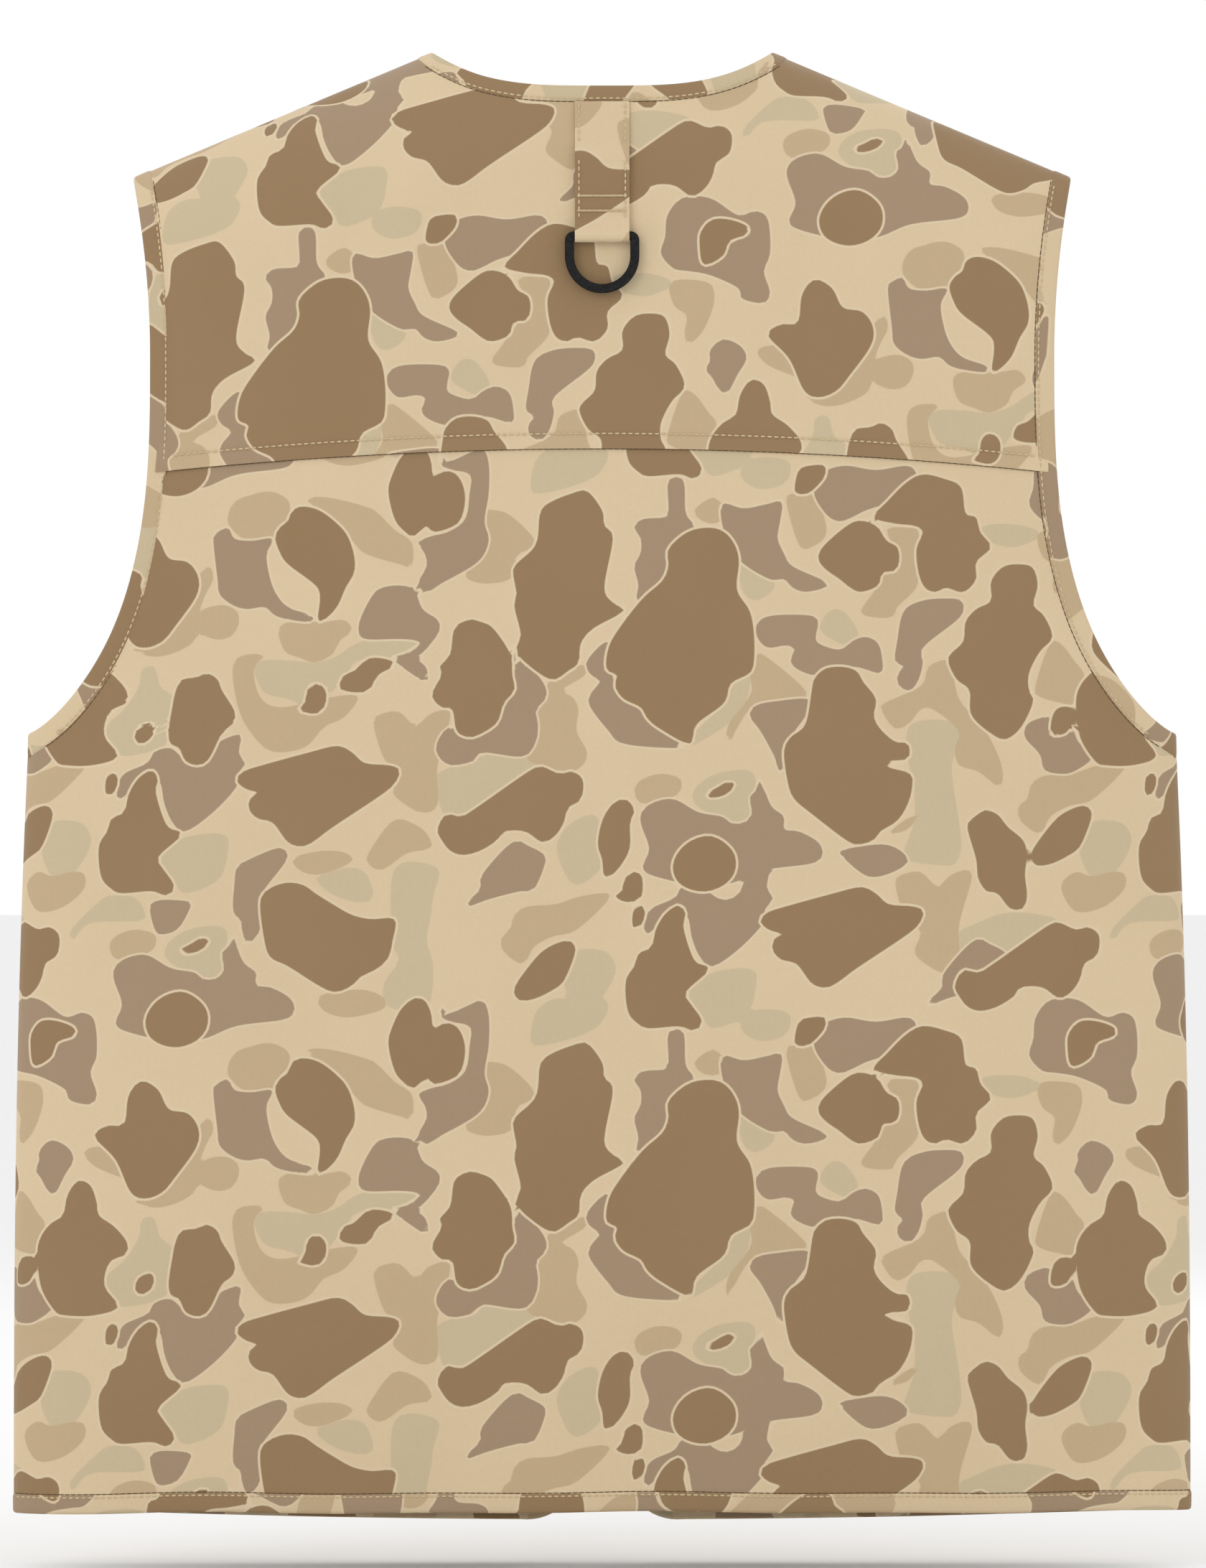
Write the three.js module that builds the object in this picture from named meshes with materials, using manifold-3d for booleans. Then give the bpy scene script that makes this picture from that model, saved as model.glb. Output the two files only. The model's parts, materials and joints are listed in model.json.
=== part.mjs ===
// A zip-front fishing vest of printed cotton poplin, with a back yoke, bound edges, a ring tab
// with its D-ring, four bellows pockets with snap flaps, and an open-end coil zip.
//
// The vest hangs as it does on a slim hanger. +X is the wearer's right, +Y the wearer's front and
// +Z up. All heights below are taken above the lowest point of the front hem, and the whole vest
// is then lowered so that the origin lies between the neck points, where a hanger carries it.

import * as THREE from "three";
import { mergeVertices } from "three/addons/utils/BufferGeometryUtils.js";
import Module from "manifold-3d";

const wasm = await Module();
wasm.setup();

// ---------------------------------------------------------------- driving dimensions (mm)

// Body
const hemHalf = 276.7; // half of the width, laid flat, at the hem
const chestHalf = 269.6; // the same under the arms
const bodyDepth = 38; // from the middle plane to the back, and to the front
const shoulderRound = 70; // height over which the body rounds over to the shoulder ridge
const neckPointHeight = 691.6; // where the neckline meets the shoulder ridge
const neckHalf = 79.7;
const backNeckPower = 3.4; // how flat the back neckline is in its middle
const sideTaperPower = 2.6; // how low down the sides keep the hem's width
const necklinePull = { inset: 16, rise: 0.42 }; // middle control point of the front neckline
const backNeckDrop = 17;
const frontNeckDrop = 140;
const shoulderHalf = 220.4; // to the shoulder tip
const shoulderDrop = 59; // from neck point to shoulder tip
const underarmHeight = 371.6;
const armholeHalf = 211.8; // to the armhole where the back is narrowest
const armholeNarrowHeight = 548.6;
const armholePowerAcross = 1.3; // the superellipse under the arm is nearly straight at the side
const armholePowerUp = 3; // and full towards its narrowest point
const hemDrop = 7; // the front hem hangs this much lower in the middle than the back hem
const yokeSeamHeight = 504.6; // in the middle of the back
const yokeSeamDrop = 11; // how much lower the seam is at the armholes

// Cloth and its edges
const cloth = 1.6; // one panel, with its turned seam allowances
const bindingProud = 0.4; // a binding stands out this much on both faces of its panel
const bindingWidth = 9; // round the armholes and the hem
const neckBindingWidth = 7.7;
const seamGap = 0.3; // between two pieces sewn edge to edge or lying on each other
const restGap = 0.45; // the same where flat piece lies on the curved body

// Front edges, which fold back like lapels
const frontEdgeHalf = 10.5; // from the middle to the cloth edge, with the zip undone
const hemCornerRadius = 25;
const foldHemHalf = 95; // where the fold line meets the hem
const foldOnNeckline = 0.52; // share of the neckline from the front edge to the fold line

// Zip
const coilInner = 4.5; // from the middle to the coil
const coilWidth = 2.6;
const coilThickness = 1.8;
const tapeWidth = 17;
const tapeThickness = 0.9;
const zipBottomHeight = 28;
const zipTopClearance = 4; // below the neck binding
const boxHeight = 8;
const boxWidth = 6;
const pinHeight = 14;
const stopHeight = 3;
const sliderLength = 10.5;
const sliderPlate = 1.4;
const sliderFlange = 1.0;
const sliderWeb = 2.6;
const runClearance = 0.3; // between slider and coil, and between pull and bridge
const bridgeHeight = 3.2;
const bridgeHole = 4.6;
const bridgeWall = 1.2;
const bridgeWidth = 2.2;
const pullBarRadius = 0.7;
const pullThickness = 1.3;
const pullArm = 1.3;
const pullLength = 24;
const pullTailWidth = 6.4;

// Ring tab and D-ring
const tabWidth = 25.4;
const tabLayer = 1.2;
const tabUnderDrop = 51.6; // from the neck points to the end of the tab's under layer
const ringBarDrop = 87.8; // from the neck points to the bar of the D-ring
const ringBarRadius = 1.7;
const ringBand = 4.3;
const ringThickness = 3.4;
const ringSideClearance = 0.4; // between tab and ring
const ringBottomDrop = 26.8; // from the bar's axis to the lowest point
const ringShoulderRadius = 2.2;

// Hang loop, inside the back neck
const loopHalf = 28;
const loopSag = 12;
const loopWidth = 6;
const loopThickness = 1.2;
const loopEndDrop = 27.6; // from the neck points to the loop's ends

// Pockets: half of each pair, on the wearer's right
const chestPocket = { inner: 76, outer: 186, bottom: 392, top: 512, bulge: 13, flap: 36 };
const lowerPocket = { inner: 108, outer: 232, bottom: 52, top: 206, bulge: 19, flap: 44 };
const pocketCorner = 14;
const flapOverhang = 2; // past the pocket at each side
const flapRise = 10; // from the pocket's mouth to the flap's seam
const flapSeam = 4; // flat strip of the flap that is sewn down
const flapCorner = 12;

// Snap fasteners
const capRadius = 6;
const capHeight = 2.2;
const studRadius = 4;
const studHeight = 1.1;
const snapAboveFlapEdge = 13;

// ---------------------------------------------------------------- worked-out sizes

const shoulderSlope = shoulderDrop / (shoulderHalf - neckHalf);
const frontNeckHeight = neckPointHeight - frontNeckDrop;
const zipTopHeight = frontNeckHeight - neckBindingWidth - zipTopClearance;
const tapeLift = -(cloth + seamGap); // outer face of the zip tape
const flapLift = studHeight + 2 * seamGap; // from the pocket's front to the flap's inside
const tabUnderHeight = neckPointHeight - tabUnderDrop;
const ringBarHeight = neckPointHeight - ringBarDrop;
const loopEndHeight = neckPointHeight - loopEndDrop;
const farSide = hemHalf + 43.3; // past the vest on every side, for cutters
const farUp = neckPointHeight + 88.4;
const farDown = -60;
const farDepth = bodyDepth + 72;

// ---------------------------------------------------------------- solids

function solidOf(geometry) {
  const bare = geometry.clone();
  bare.deleteAttribute("normal");
  bare.deleteAttribute("uv");
  const merged = mergeVertices(bare, 1e-4);
  return new wasm.Manifold(
    new wasm.Mesh({
      numProp: 3,
      vertProperties: new Float32Array(merged.attributes.position.array),
      triVerts: new Uint32Array(merged.index.array),
    }),
  );
}

function geometryOf(solid) {
  const mesh = solid.getMesh();
  const points = new Float32Array(mesh.numVert * 3);
  for (let i = 0; i < mesh.numVert; i++)
    for (let k = 0; k < 3; k++)
      points[3 * i + k] = mesh.vertProperties[mesh.numProp * i + k];
  const geometry = new THREE.BufferGeometry();
  geometry.setAttribute("position", new THREE.BufferAttribute(points, 3));
  geometry.setIndex(new THREE.BufferAttribute(new Uint32Array(mesh.triVerts), 1));
  geometry.computeVertexNormals();
  return geometry;
}

function flipFaces(geometry) {
  const index = geometry.index.array;
  for (let i = 0; i < index.length; i += 3)
    [index[i + 1], index[i + 2]] = [index[i + 2], index[i + 1]];
  return geometry;
}

function box(x, y, z) {
  const shape = new THREE.BoxGeometry(x[1] - x[0], y[1] - y[0], z[1] - z[0]);
  shape.translate((x[0] + x[1]) / 2, (y[0] + y[1]) / 2, (z[0] + z[1]) / 2);
  return solidOf(shape);
}

// ---------------------------------------------------------------- the body's surface

const BACK = -1;
const FRONT = 1;

// Height of the shoulder ridge. Between the neck points it runs on as a smooth arch, which only
// sets how the back and the front round over there.
function ridgeHeight(x) {
  const out = Math.abs(x);
  if (out >= neckHalf) return neckPointHeight - shoulderSlope * (out - neckHalf);
  return neckPointHeight + (shoulderSlope * (neckHalf ** 2 - out ** 2)) / (2 * neckHalf);
}

function sideHalf(z) {
  const up = Math.min(Math.max(z / underarmHeight, 0), 1);
  return hemHalf - (hemHalf - chestHalf) * up ** sideTaperPower;
}

// Square of the distance from the middle plane to the body: an ellipse across, and a quarter
// ellipse from the ridge down over the shoulder's round.
function depthSquared(x, z) {
  const across = Math.max(0, 1 - (x / sideHalf(z)) ** 2);
  const rise = Math.min(Math.max(0, 1 - (ridgeHeight(x) - z) / shoulderRound), 1);
  return bodyDepth ** 2 * across * (1 - rise ** 2);
}

function bodyNormal(x, y, z) {
  const step = 0.01;
  const alongX = (depthSquared(x + step, z) - depthSquared(x - step, z)) / (2 * step);
  const alongZ = (depthSquared(x, z + step) - depthSquared(x, z - step)) / (2 * step);
  const normal = new THREE.Vector3(-alongX, 2 * y, -alongZ);
  if (normal.length() < 1e-6) normal.set(Math.sign(x), 0, 1);
  return normal.normalize();
}

// The point of the body at x and z, lifted off it along its normal.
function bodyPoint(x, z, face, lift) {
  const y = face * Math.sqrt(depthSquared(x, z));
  const point = new THREE.Vector3(x, y, z);
  return point.addScaledVector(bodyNormal(x, y, z), lift);
}

// The closed solid between two lifts off the body, shut along the ridge and open at the bottom.
// Every panel, binding, tape and pocket is cut from such a layer.
function layer(low, high) {
  const columns = 36; // across the back, and again across the front
  const straightRows = 12;
  const roundRows = 7;
  const heights = [];
  for (let j = 0; j <= straightRows; j++) {
    const up = j / straightRows;
    heights.push((x) => farDown / 2 + (ridgeHeight(x) - shoulderRound - farDown / 2) * up);
  }
  for (let j = 1; j <= roundRows; j++) {
    const angle = (Math.PI / 2) * (1 - j / roundRows);
    heights.push((x) => ridgeHeight(x) - shoulderRound * (1 - Math.cos(angle)));
  }
  const points = [];
  for (const face of [BACK, FRONT])
    for (const lift of [high, low])
      for (const [row, height] of heights.entries())
        for (let i = 0; i <= columns; i++) {
          const turn = -Math.PI / 2 + (Math.PI * i) / columns;
          const rough = chestHalf * Math.sin(turn);
          const x = sideHalf(height(rough)) * Math.sin(turn);
          const point = bodyPoint(x, height(x), face, lift);
          if (i === 0 || i === columns) {
            const up = row === heights.length - 1 ? 1 : 0;
            const out = new THREE.Vector3(Math.sign(x), 0, up).normalize();
            point.set(x, 0, height(x)).addScaledVector(out, lift);
          }
          if (row === heights.length - 1) point.y = 0;
          points.push(point.x, point.y, point.z);
        }
  const perRow = columns + 1;
  const perSheet = perRow * heights.length;
  const faces = [];
  const quad = (a, b, c, d, flip) =>
    faces.push(...(flip ? [a, c, b, a, d, c] : [a, b, c, a, c, d]));
  for (let half = 0; half < 2; half++) {
    const outer = 2 * half * perSheet;
    const inner = outer + perSheet;
    for (let i = 0; i < columns; i++) {
      for (let j = 0; j < heights.length - 1; j++) {
        const at = j * perRow + i;
        const corners = [at, at + 1, at + perRow + 1, at + perRow];
        quad(...corners.map((k) => outer + k), half === 1);
        quad(...corners.map((k) => inner + k), half === 0);
      }
      quad(outer + i, inner + i, inner + i + 1, outer + i + 1, half === 1);
    }
  }
  const geometry = new THREE.BufferGeometry();
  geometry.setAttribute("position", new THREE.Float32BufferAttribute(points, 3));
  geometry.setIndex(faces);
  return solidOf(geometry);
}

// ---------------------------------------------------------------- flat outlines

const flat = (x, z) => new THREE.Vector2(x, z);
const mirrored = (path) => path.map((p) => flat(-p.x, p.y)).reverse();

// A cutter with straight sides: a flat outline in x and z, from one depth to another.
function prism(outline, nearY, farY) {
  const shape = new THREE.Shape(outline);
  const solid = new THREE.ExtrudeGeometry(shape, { depth: farY - nearY, bevelEnabled: false });
  solid.rotateX(Math.PI / 2);
  solid.translate(0, farY, 0);
  return solidOf(solid);
}

const backPrism = (outline) => prism(outline, -farDepth, -seamGap / 2);
const frontPrism = (outline) => prism(outline, seamGap / 2, farDepth);
const throughPrism = (outline) => prism(outline, -farDepth, farDepth);

// The same path moved sideways, to the left of its direction.
function offsetPath(path, distance) {
  return path.map((p, i) => {
    const before = path[Math.max(i - 1, 0)];
    const after = path[Math.min(i + 1, path.length - 1)];
    const along = after.clone().sub(before).normalize();
    return flat(p.x - along.y * distance, p.y + along.x * distance);
  });
}

function lengthened(path, distance) {
  const last = path[path.length - 1];
  const along = last.clone().sub(path[path.length - 2]).normalize();
  return [...path, last.clone().addScaledVector(along, distance)];
}

const pastRidge = 14; // how far the edge paths run on above the ridge

// Armhole edge on the wearer's right, from past the side seam up over the shoulder. The cloth lies
// to the left of it. A superellipse leads to the narrowest point, and a parabola to the tip.
function armholePath() {
  const lowerSteps = 14;
  const upperSteps = 5;
  const path = [flat(chestHalf + pastRidge, underarmHeight)];
  for (let i = 0; i <= lowerSteps; i++) {
    const turn = (Math.PI / 2) * (i / lowerSteps);
    const inward = Math.sin(turn) ** (2 / armholePowerAcross);
    const below = Math.max(Math.cos(turn), 0) ** (2 / armholePowerUp);
    path.push(
      flat(
        chestHalf - (chestHalf - armholeHalf) * inward,
        armholeNarrowHeight - (armholeNarrowHeight - underarmHeight) * below,
      ),
    );
  }
  const tipHeight = neckPointHeight - shoulderDrop;
  for (let i = 1; i <= upperSteps; i++) {
    const up = i / upperSteps;
    path.push(
      flat(
        armholeHalf + (shoulderHalf - armholeHalf) * up ** 2,
        armholeNarrowHeight + (tipHeight - armholeNarrowHeight) * up,
      ),
    );
  }
  return lengthened(path, pastRidge);
}

// Back neckline, from above the right neck point across to above the left one.
function backNeckPath() {
  const steps = 12;
  const half = [];
  for (let i = 0; i <= steps; i++) {
    const out = i / steps;
    half.push(flat(neckHalf * out, neckPointHeight - backNeckDrop * (1 - out ** backNeckPower)));
  }
  const right = lengthened(half, pastRidge).reverse();
  return [...right, ...mirrored(right).slice(1)];
}

// Front neckline on the wearer's right.
const neckline = new THREE.QuadraticBezierCurve(
  flat(frontEdgeHalf, frontNeckHeight),
  flat(neckHalf - necklinePull.inset, frontNeckHeight + frontNeckDrop * necklinePull.rise),
  flat(neckHalf, neckPointHeight),
);

function frontNeckPath() {
  const up = lengthened(neckline.getPoints(12), pastRidge);
  return lengthened(up.reverse(), pastRidge);
}

const frontHemHeight = (x) => hemDrop * (x / hemHalf) ** 2;

// Front hem on the wearer's right: round the corner from the front edge, then out to the side.
function frontHemPath() {
  const path = [];
  const arcSteps = 6;
  const hemSteps = 10;
  const centre = flat(frontEdgeHalf + hemCornerRadius, hemCornerRadius);
  for (let i = 0; i <= arcSteps; i++) {
    const turn = Math.PI + (Math.PI / 2) * (i / arcSteps);
    path.push(
      flat(
        centre.x + hemCornerRadius * Math.cos(turn),
        centre.y + hemCornerRadius * Math.sin(turn),
      ),
    );
  }
  for (let i = 1; i <= hemSteps; i++) {
    const x = centre.x + ((farSide - centre.x) * i) / hemSteps;
    path.push(flat(x, frontHemHeight(x)));
  }
  return path;
}

// Everything outside a line that runs inside an edge by the given inset.
const outsideArmhole = (inset) => {
  const path = offsetPath(armholePath(), inset);
  return [...path, flat(path[path.length - 1].x, farUp), flat(farSide, farUp), flat(farSide, path[0].y)];
};

const outsideBackNeck = (inset) => {
  const path = offsetPath(backNeckPath(), inset);
  const right = path[0].x;
  return [...path, flat(-right, farUp), flat(right, farUp)];
};

const outsideFrontNeck = (inset) => {
  const path = offsetPath(frontNeckPath(), inset);
  return [...path, flat(-farSide, path[path.length - 1].y), flat(-farSide, farUp), flat(path[0].x, farUp)];
};

const outsideFrontHem = (inset) => {
  const path = offsetPath(frontHemPath(), inset);
  return [...path, flat(farSide + inset, farDown), flat(-farSide, farDown), flat(-farSide, path[0].y)];
};

const outsideBackHem = (inset) => [
  flat(-farSide, hemDrop + inset),
  flat(-farSide, farDown),
  flat(farSide, farDown),
  flat(farSide, hemDrop + inset),
];

// Below a line parallel to the yoke seam.
function belowYokeSeam(offset) {
  const seam = [];
  const steps = 16;
  for (let i = 0; i <= steps; i++) {
    const x = farSide * (1 - (2 * i) / steps);
    seam.push(flat(x, yokeSeamHeight - yokeSeamDrop * (x / armholeHalf) ** 2 + offset));
  }
  return [...seam, flat(-farSide, farDown), flat(farSide, farDown)];
}

// The fold line of the front edge, and the cloth on its two sides.
const foldTop = neckline.getPoint(foldOnNeckline);
const foldBottom = flat(foldHemHalf, frontHemHeight(foldHemHalf));

const foldReach = 1.25; // the cutters along the fold line end at these shares of its length
const foldStart = -0.08;

function besideFold(side) {
  const along = foldTop.clone().sub(foldBottom);
  const shift = (side * seamGap) / 2;
  const high = foldBottom.clone().addScaledVector(along, foldReach);
  const low = foldBottom.clone().addScaledVector(along, foldStart);
  return [
    flat(low.x + shift, low.y),
    flat(high.x + shift, high.y),
    flat(side * farSide, high.y),
    flat(side * farSide, low.y),
  ];
}

const aboveFold = () => {
  const high = foldBottom.y + (foldTop.y - foldBottom.y) * foldReach;
  return [flat(0, high - 1), flat(farSide, high - 1), flat(farSide, farUp), flat(0, farUp)];
};

const pastFrontEdge = () => [
  flat(frontEdgeHalf, farDown),
  flat(farSide, farDown),
  flat(farSide, farUp),
  flat(frontEdgeHalf, farUp),
];

const rectangle = (left, right, bottom, top) => [
  flat(left, bottom),
  flat(right, bottom),
  flat(right, top),
  flat(left, top),
];

// A rectangle with its two lower corners rounded.
function roundBottomed(left, right, bottom, top, radius) {
  const shape = new THREE.Shape();
  shape.moveTo(left, top);
  shape.lineTo(left, bottom + radius);
  shape.absarc(left + radius, bottom + radius, radius, Math.PI, 1.5 * Math.PI, false);
  shape.absarc(right - radius, bottom + radius, radius, 1.5 * Math.PI, 2 * Math.PI, false);
  shape.lineTo(right, top);
  return shape.getPoints(4);
}

// ---------------------------------------------------------------- cloth pieces

const clothLayer = layer(-cloth, 0);
const bindingLayer = layer(-cloth - bindingProud, bindingProud);
const mirrorSolid = (solid) => {
  const geometry = geometryOf(solid);
  geometry.scale(-1, 1, 1);
  return solidOf(flipFaces(geometry));
};
const bothSides = (solid) => solid.add(mirrorSolid(solid));

function backSolid() {
  const inset = bindingWidth + seamGap;
  return clothLayer
    .intersect(backPrism(rectangle(-farSide, farSide, farDown, farUp)))
    .subtract(bothSides(throughPrism(outsideArmhole(inset))))
    .subtract(throughPrism(outsideBackNeck(neckBindingWidth + seamGap)))
    .subtract(throughPrism(outsideBackHem(inset)));
}

function backPanel() {
  return backSolid().intersect(throughPrism(belowYokeSeam(-seamGap / 2)));
}

function backYoke() {
  return backSolid().subtract(throughPrism(belowYokeSeam(seamGap / 2)));
}

function frontSolid() {
  const inset = bindingWidth + seamGap;
  return clothLayer
    .intersect(frontPrism(pastFrontEdge()))
    .subtract(throughPrism(outsideArmhole(inset)))
    .subtract(throughPrism(outsideFrontNeck(neckBindingWidth + seamGap)))
    .subtract(throughPrism(outsideFrontHem(inset)));
}

const sideOfFold = () => throughPrism(besideFold(1)).add(throughPrism(aboveFold()));
const edgeOfFold = () => throughPrism(besideFold(-1));

const strip = (outside, width) =>
  throughPrism(outside(width)).subtract(throughPrism(outside(0)));

const armholeBinding = () => bindingLayer.intersect(strip(outsideArmhole, bindingWidth));

// The neck binding runs round the back and over both shoulders to the two fold lines.
function neckBinding() {
  const overlap = 0.05;
  const back = strip(outsideBackNeck, neckBindingWidth).intersect(
    prism(rectangle(-farSide, farSide, farDown, farUp), -farDepth, overlap),
  );
  const front = strip(outsideFrontNeck, neckBindingWidth)
    .intersect(sideOfFold())
    .intersect(prism(pastFrontEdge(), -overlap, farDepth));
  return bindingLayer.intersect(back.add(bothSides(front)));
}

function edgeNeckBinding() {
  return bindingLayer
    .intersect(strip(outsideFrontNeck, neckBindingWidth))
    .intersect(edgeOfFold())
    .intersect(frontPrism(pastFrontEdge()));
}

const backHemBinding = () =>
  bindingLayer
    .intersect(strip(outsideBackHem, bindingWidth))
    .intersect(backPrism(rectangle(-farSide, farSide, farDown, farUp)));

const frontHemBinding = (beside) =>
  bindingLayer
    .intersect(strip(outsideFrontHem, bindingWidth))
    .intersect(beside)
    .intersect(frontPrism(pastFrontEdge()));

// Hang loop: a tape that dips between its two sewn ends, on the inside of the yoke.
function hangLoop() {
  const steps = 10;
  const path = [];
  for (let i = 0; i <= steps; i++) {
    const across = 1 - (2 * i) / steps;
    path.push(flat(loopHalf * across, loopEndHeight - loopSag * (1 - across ** 2)));
  }
  const outline = [
    ...offsetPath(path, loopWidth / 2),
    ...offsetPath(path, -loopWidth / 2).reverse(),
  ];
  const top = -(cloth + seamGap);
  return layer(top - loopThickness, top).intersect(backPrism(outline));
}

// ---------------------------------------------------------------- ribbons shaped over the body

// A ribbon seen from its edge: its middle line in lift and height, given a thickness.
function ribbonProfile(middle, thickness) {
  const line = middle.map(([lift, z]) => flat(lift, z));
  return new THREE.Shape([
    ...offsetPath(line, thickness / 2),
    ...offsetPath(line, -thickness / 2).reverse(),
  ]);
}

// A profile in lift and height, drawn out across x and laid on the body.
function laidOnBody(profile, left, right, steps, face) {
  const geometry = new THREE.ExtrudeGeometry(profile, {
    depth: right - left,
    steps,
    bevelEnabled: false,
  });
  const bare = geometry.clone();
  bare.deleteAttribute("normal");
  bare.deleteAttribute("uv");
  const merged = mergeVertices(bare, 1e-4);
  const place = merged.attributes.position;
  for (let i = 0; i < place.count; i++) {
    const point = bodyPoint(left + place.getZ(i), place.getY(i), face, place.getX(i));
    place.setXYZ(i, point.x, point.y, point.z);
  }
  return solidOf(face === FRONT ? merged : flipFaces(merged));
}

// ---------------------------------------------------------------- ring tab and D-ring

const barClear = ringBarRadius + seamGap; // inside of the fold round the bar
const barLift = restGap + tabLayer + barClear;

// The tab lies on the yoke, turns round the ring's bar and comes back under itself.
function ringTab() {
  const underLift = restGap + tabLayer / 2;
  const overLift = underLift + tabLayer + seamGap;
  const turnRadius = barClear + tabLayer / 2;
  const neckSeam = neckPointHeight - backNeckDrop - neckBindingWidth - seamGap;
  const middle = [
    [underLift, tabUnderHeight],
    [underLift, ringBarHeight + turnRadius],
  ];
  const turnSteps = 10;
  const fullTurn = 1.2 * Math.PI; // past half a turn, towards the over layer
  for (let i = 0; i <= turnSteps; i++) {
    const turn = Math.PI + (fullTurn * i) / turnSteps;
    middle.push([
      barLift + turnRadius * Math.cos(turn),
      ringBarHeight + turnRadius * Math.sin(turn),
    ]);
  }
  middle.push([overLift + tabLayer / 2, ringBarHeight + 2.2 * turnRadius]);
  middle.push([overLift, ringBarHeight + 3 * turnRadius]);
  middle.push([overLift, tabUnderHeight + 1]);
  middle.push([underLift, tabUnderHeight + 6]);
  middle.push([underLift, neckSeam]);
  const half = tabWidth / 2;
  return laidOnBody(ribbonProfile(middle, tabLayer), -half, half, 2, BACK);
}

// The D-ring, drawn with its bar's axis at the origin: a flat D-shaped band, open at the top,
// and the round bar across it.
function dRing() {
  const inner = tabWidth / 2 + ringSideClearance;
  const outer = inner + ringBand;
  const bowl = -ringBottomDrop + outer; // height of the bowl's centre
  const top = ringBarRadius;
  const shape = new THREE.Shape();
  shape.moveTo(inner, top);
  shape.absarc(outer - ringShoulderRadius, top - ringShoulderRadius, ringShoulderRadius, Math.PI / 2, 0, true);
  shape.absarc(0, bowl, outer, 0, Math.PI, true);
  shape.absarc(
    ringShoulderRadius - outer,
    top - ringShoulderRadius,
    ringShoulderRadius,
    Math.PI,
    Math.PI / 2,
    true,
  );
  shape.lineTo(-inner, top);
  shape.absarc(0, bowl, inner, Math.PI, 0, false);
  const band = new THREE.ExtrudeGeometry(shape, {
    depth: ringThickness,
    bevelEnabled: false,
    curveSegments: 9,
  });
  band.rotateX(Math.PI / 2);
  band.translate(0, ringThickness / 2, 0);
  const bar = new THREE.CylinderGeometry(ringBarRadius, ringBarRadius, 2 * inner + ringBand, 12);
  bar.rotateZ(Math.PI / 2);
  return solidOf(band).add(solidOf(bar));
}

// ---------------------------------------------------------------- zip

const coilOuter = coilInner + coilWidth;
const coilHigh = tapeLift + coilThickness + seamGap;
const coilLow = tapeLift + seamGap;

const zipTape = () =>
  layer(tapeLift - tapeThickness, tapeLift).intersect(
    frontPrism(
      rectangle(coilInner + 0.5, coilInner + tapeWidth, zipBottomHeight, zipTopHeight),
    ),
  );

const zipCoil = (bottom) =>
  layer(coilLow, coilHigh).intersect(
    frontPrism(rectangle(coilInner, coilOuter, bottom, zipTopHeight - stopHeight - seamGap)),
  );

// A fitting clamped on the coil's line, as wide as it: the top stops, the box and the pin.
const zipFitting = (left, right, bottom, top) =>
  layer(coilLow, coilHigh + bindingProud).intersect(
    frontPrism(rectangle(left, right, bottom, top)),
  );

// The slider, with its web's middle at x = 0, the body's front surface at y = 0, and its bottom at
// z = 0. Its right channel runs on the coil, and its left one is free while the zip is undone.
function zipSlider() {
  const webHalf = sliderWeb / 2;
  const channel = coilWidth + 2 * runClearance;
  const half = webHalf + channel + sliderFlange;
  const front = coilHigh + runClearance;
  const back = tapeLift - tapeThickness - runClearance;
  const tapeSlot = tapeLift + seamGap;
  const past = 5;
  let slider = box([-half, half], [back - sliderPlate, front + sliderPlate], [0, sliderLength]);
  for (const side of [-1, 1]) {
    const near = side * webHalf;
    const channelEnd = side * (webHalf + channel);
    const open = side * (half + past);
    const span = (a, b) => [Math.min(a, b), Math.max(a, b)];
    slider = slider
      .subtract(box(span(near, channelEnd), [back, front], [-past, sliderLength + past]))
      .subtract(box(span(near, open), [back, tapeSlot], [-past, sliderLength + past]));
  }
  const foot = front + sliderPlate;
  const middle = sliderLength / 2;
  const bridgeHalf = bridgeHole / 2 + bridgeWall;
  const bridge = box(
    [-bridgeWidth / 2, bridgeWidth / 2],
    [foot - 0.2, foot + bridgeHeight],
    [middle - bridgeHalf, middle + bridgeHalf],
  ).subtract(
    box(
      [-bridgeWidth, bridgeWidth],
      [foot, foot + bridgeHeight - bridgeWall],
      [middle - bridgeHole / 2, middle + bridgeHole / 2],
    ),
  );
  return slider.add(bridge);
}

// The pull, with its bar's axis at the origin: two arms from the bar to a flat tail.
function zipPull() {
  const gap = bridgeWidth / 2 + runClearance;
  const shoulder = gap + pullArm;
  const reach = bridgeHole / 2 + bridgeWall + 2 * runClearance; // the arms' clear length
  const tail = new THREE.Shape([
    flat(-shoulder, 0),
    flat(shoulder, 0),
    flat(shoulder, -reach - 1),
    flat(pullTailWidth / 2, -reach - 6),
    flat(pullTailWidth / 2, -pullLength + 2),
    flat(pullTailWidth / 2 - 2, -pullLength),
    flat(2 - pullTailWidth / 2, -pullLength),
    flat(-pullTailWidth / 2, -pullLength + 2),
    flat(-pullTailWidth / 2, -reach - 6),
    flat(-shoulder, -reach - 1),
  ]);
  const plate = new THREE.ExtrudeGeometry(tail, { depth: pullThickness, bevelEnabled: false });
  plate.rotateX(Math.PI / 2);
  plate.translate(0, pullThickness / 2, 0);
  const bar = new THREE.CylinderGeometry(pullBarRadius, pullBarRadius, 2 * shoulder, 10);
  bar.rotateZ(Math.PI / 2);
  const window = box([-gap, gap], [-pullThickness, pullThickness], [-reach, pullThickness]);
  return solidOf(plate).subtract(window).add(solidOf(bar));
}

// ---------------------------------------------------------------- pockets, flaps and snaps

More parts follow.
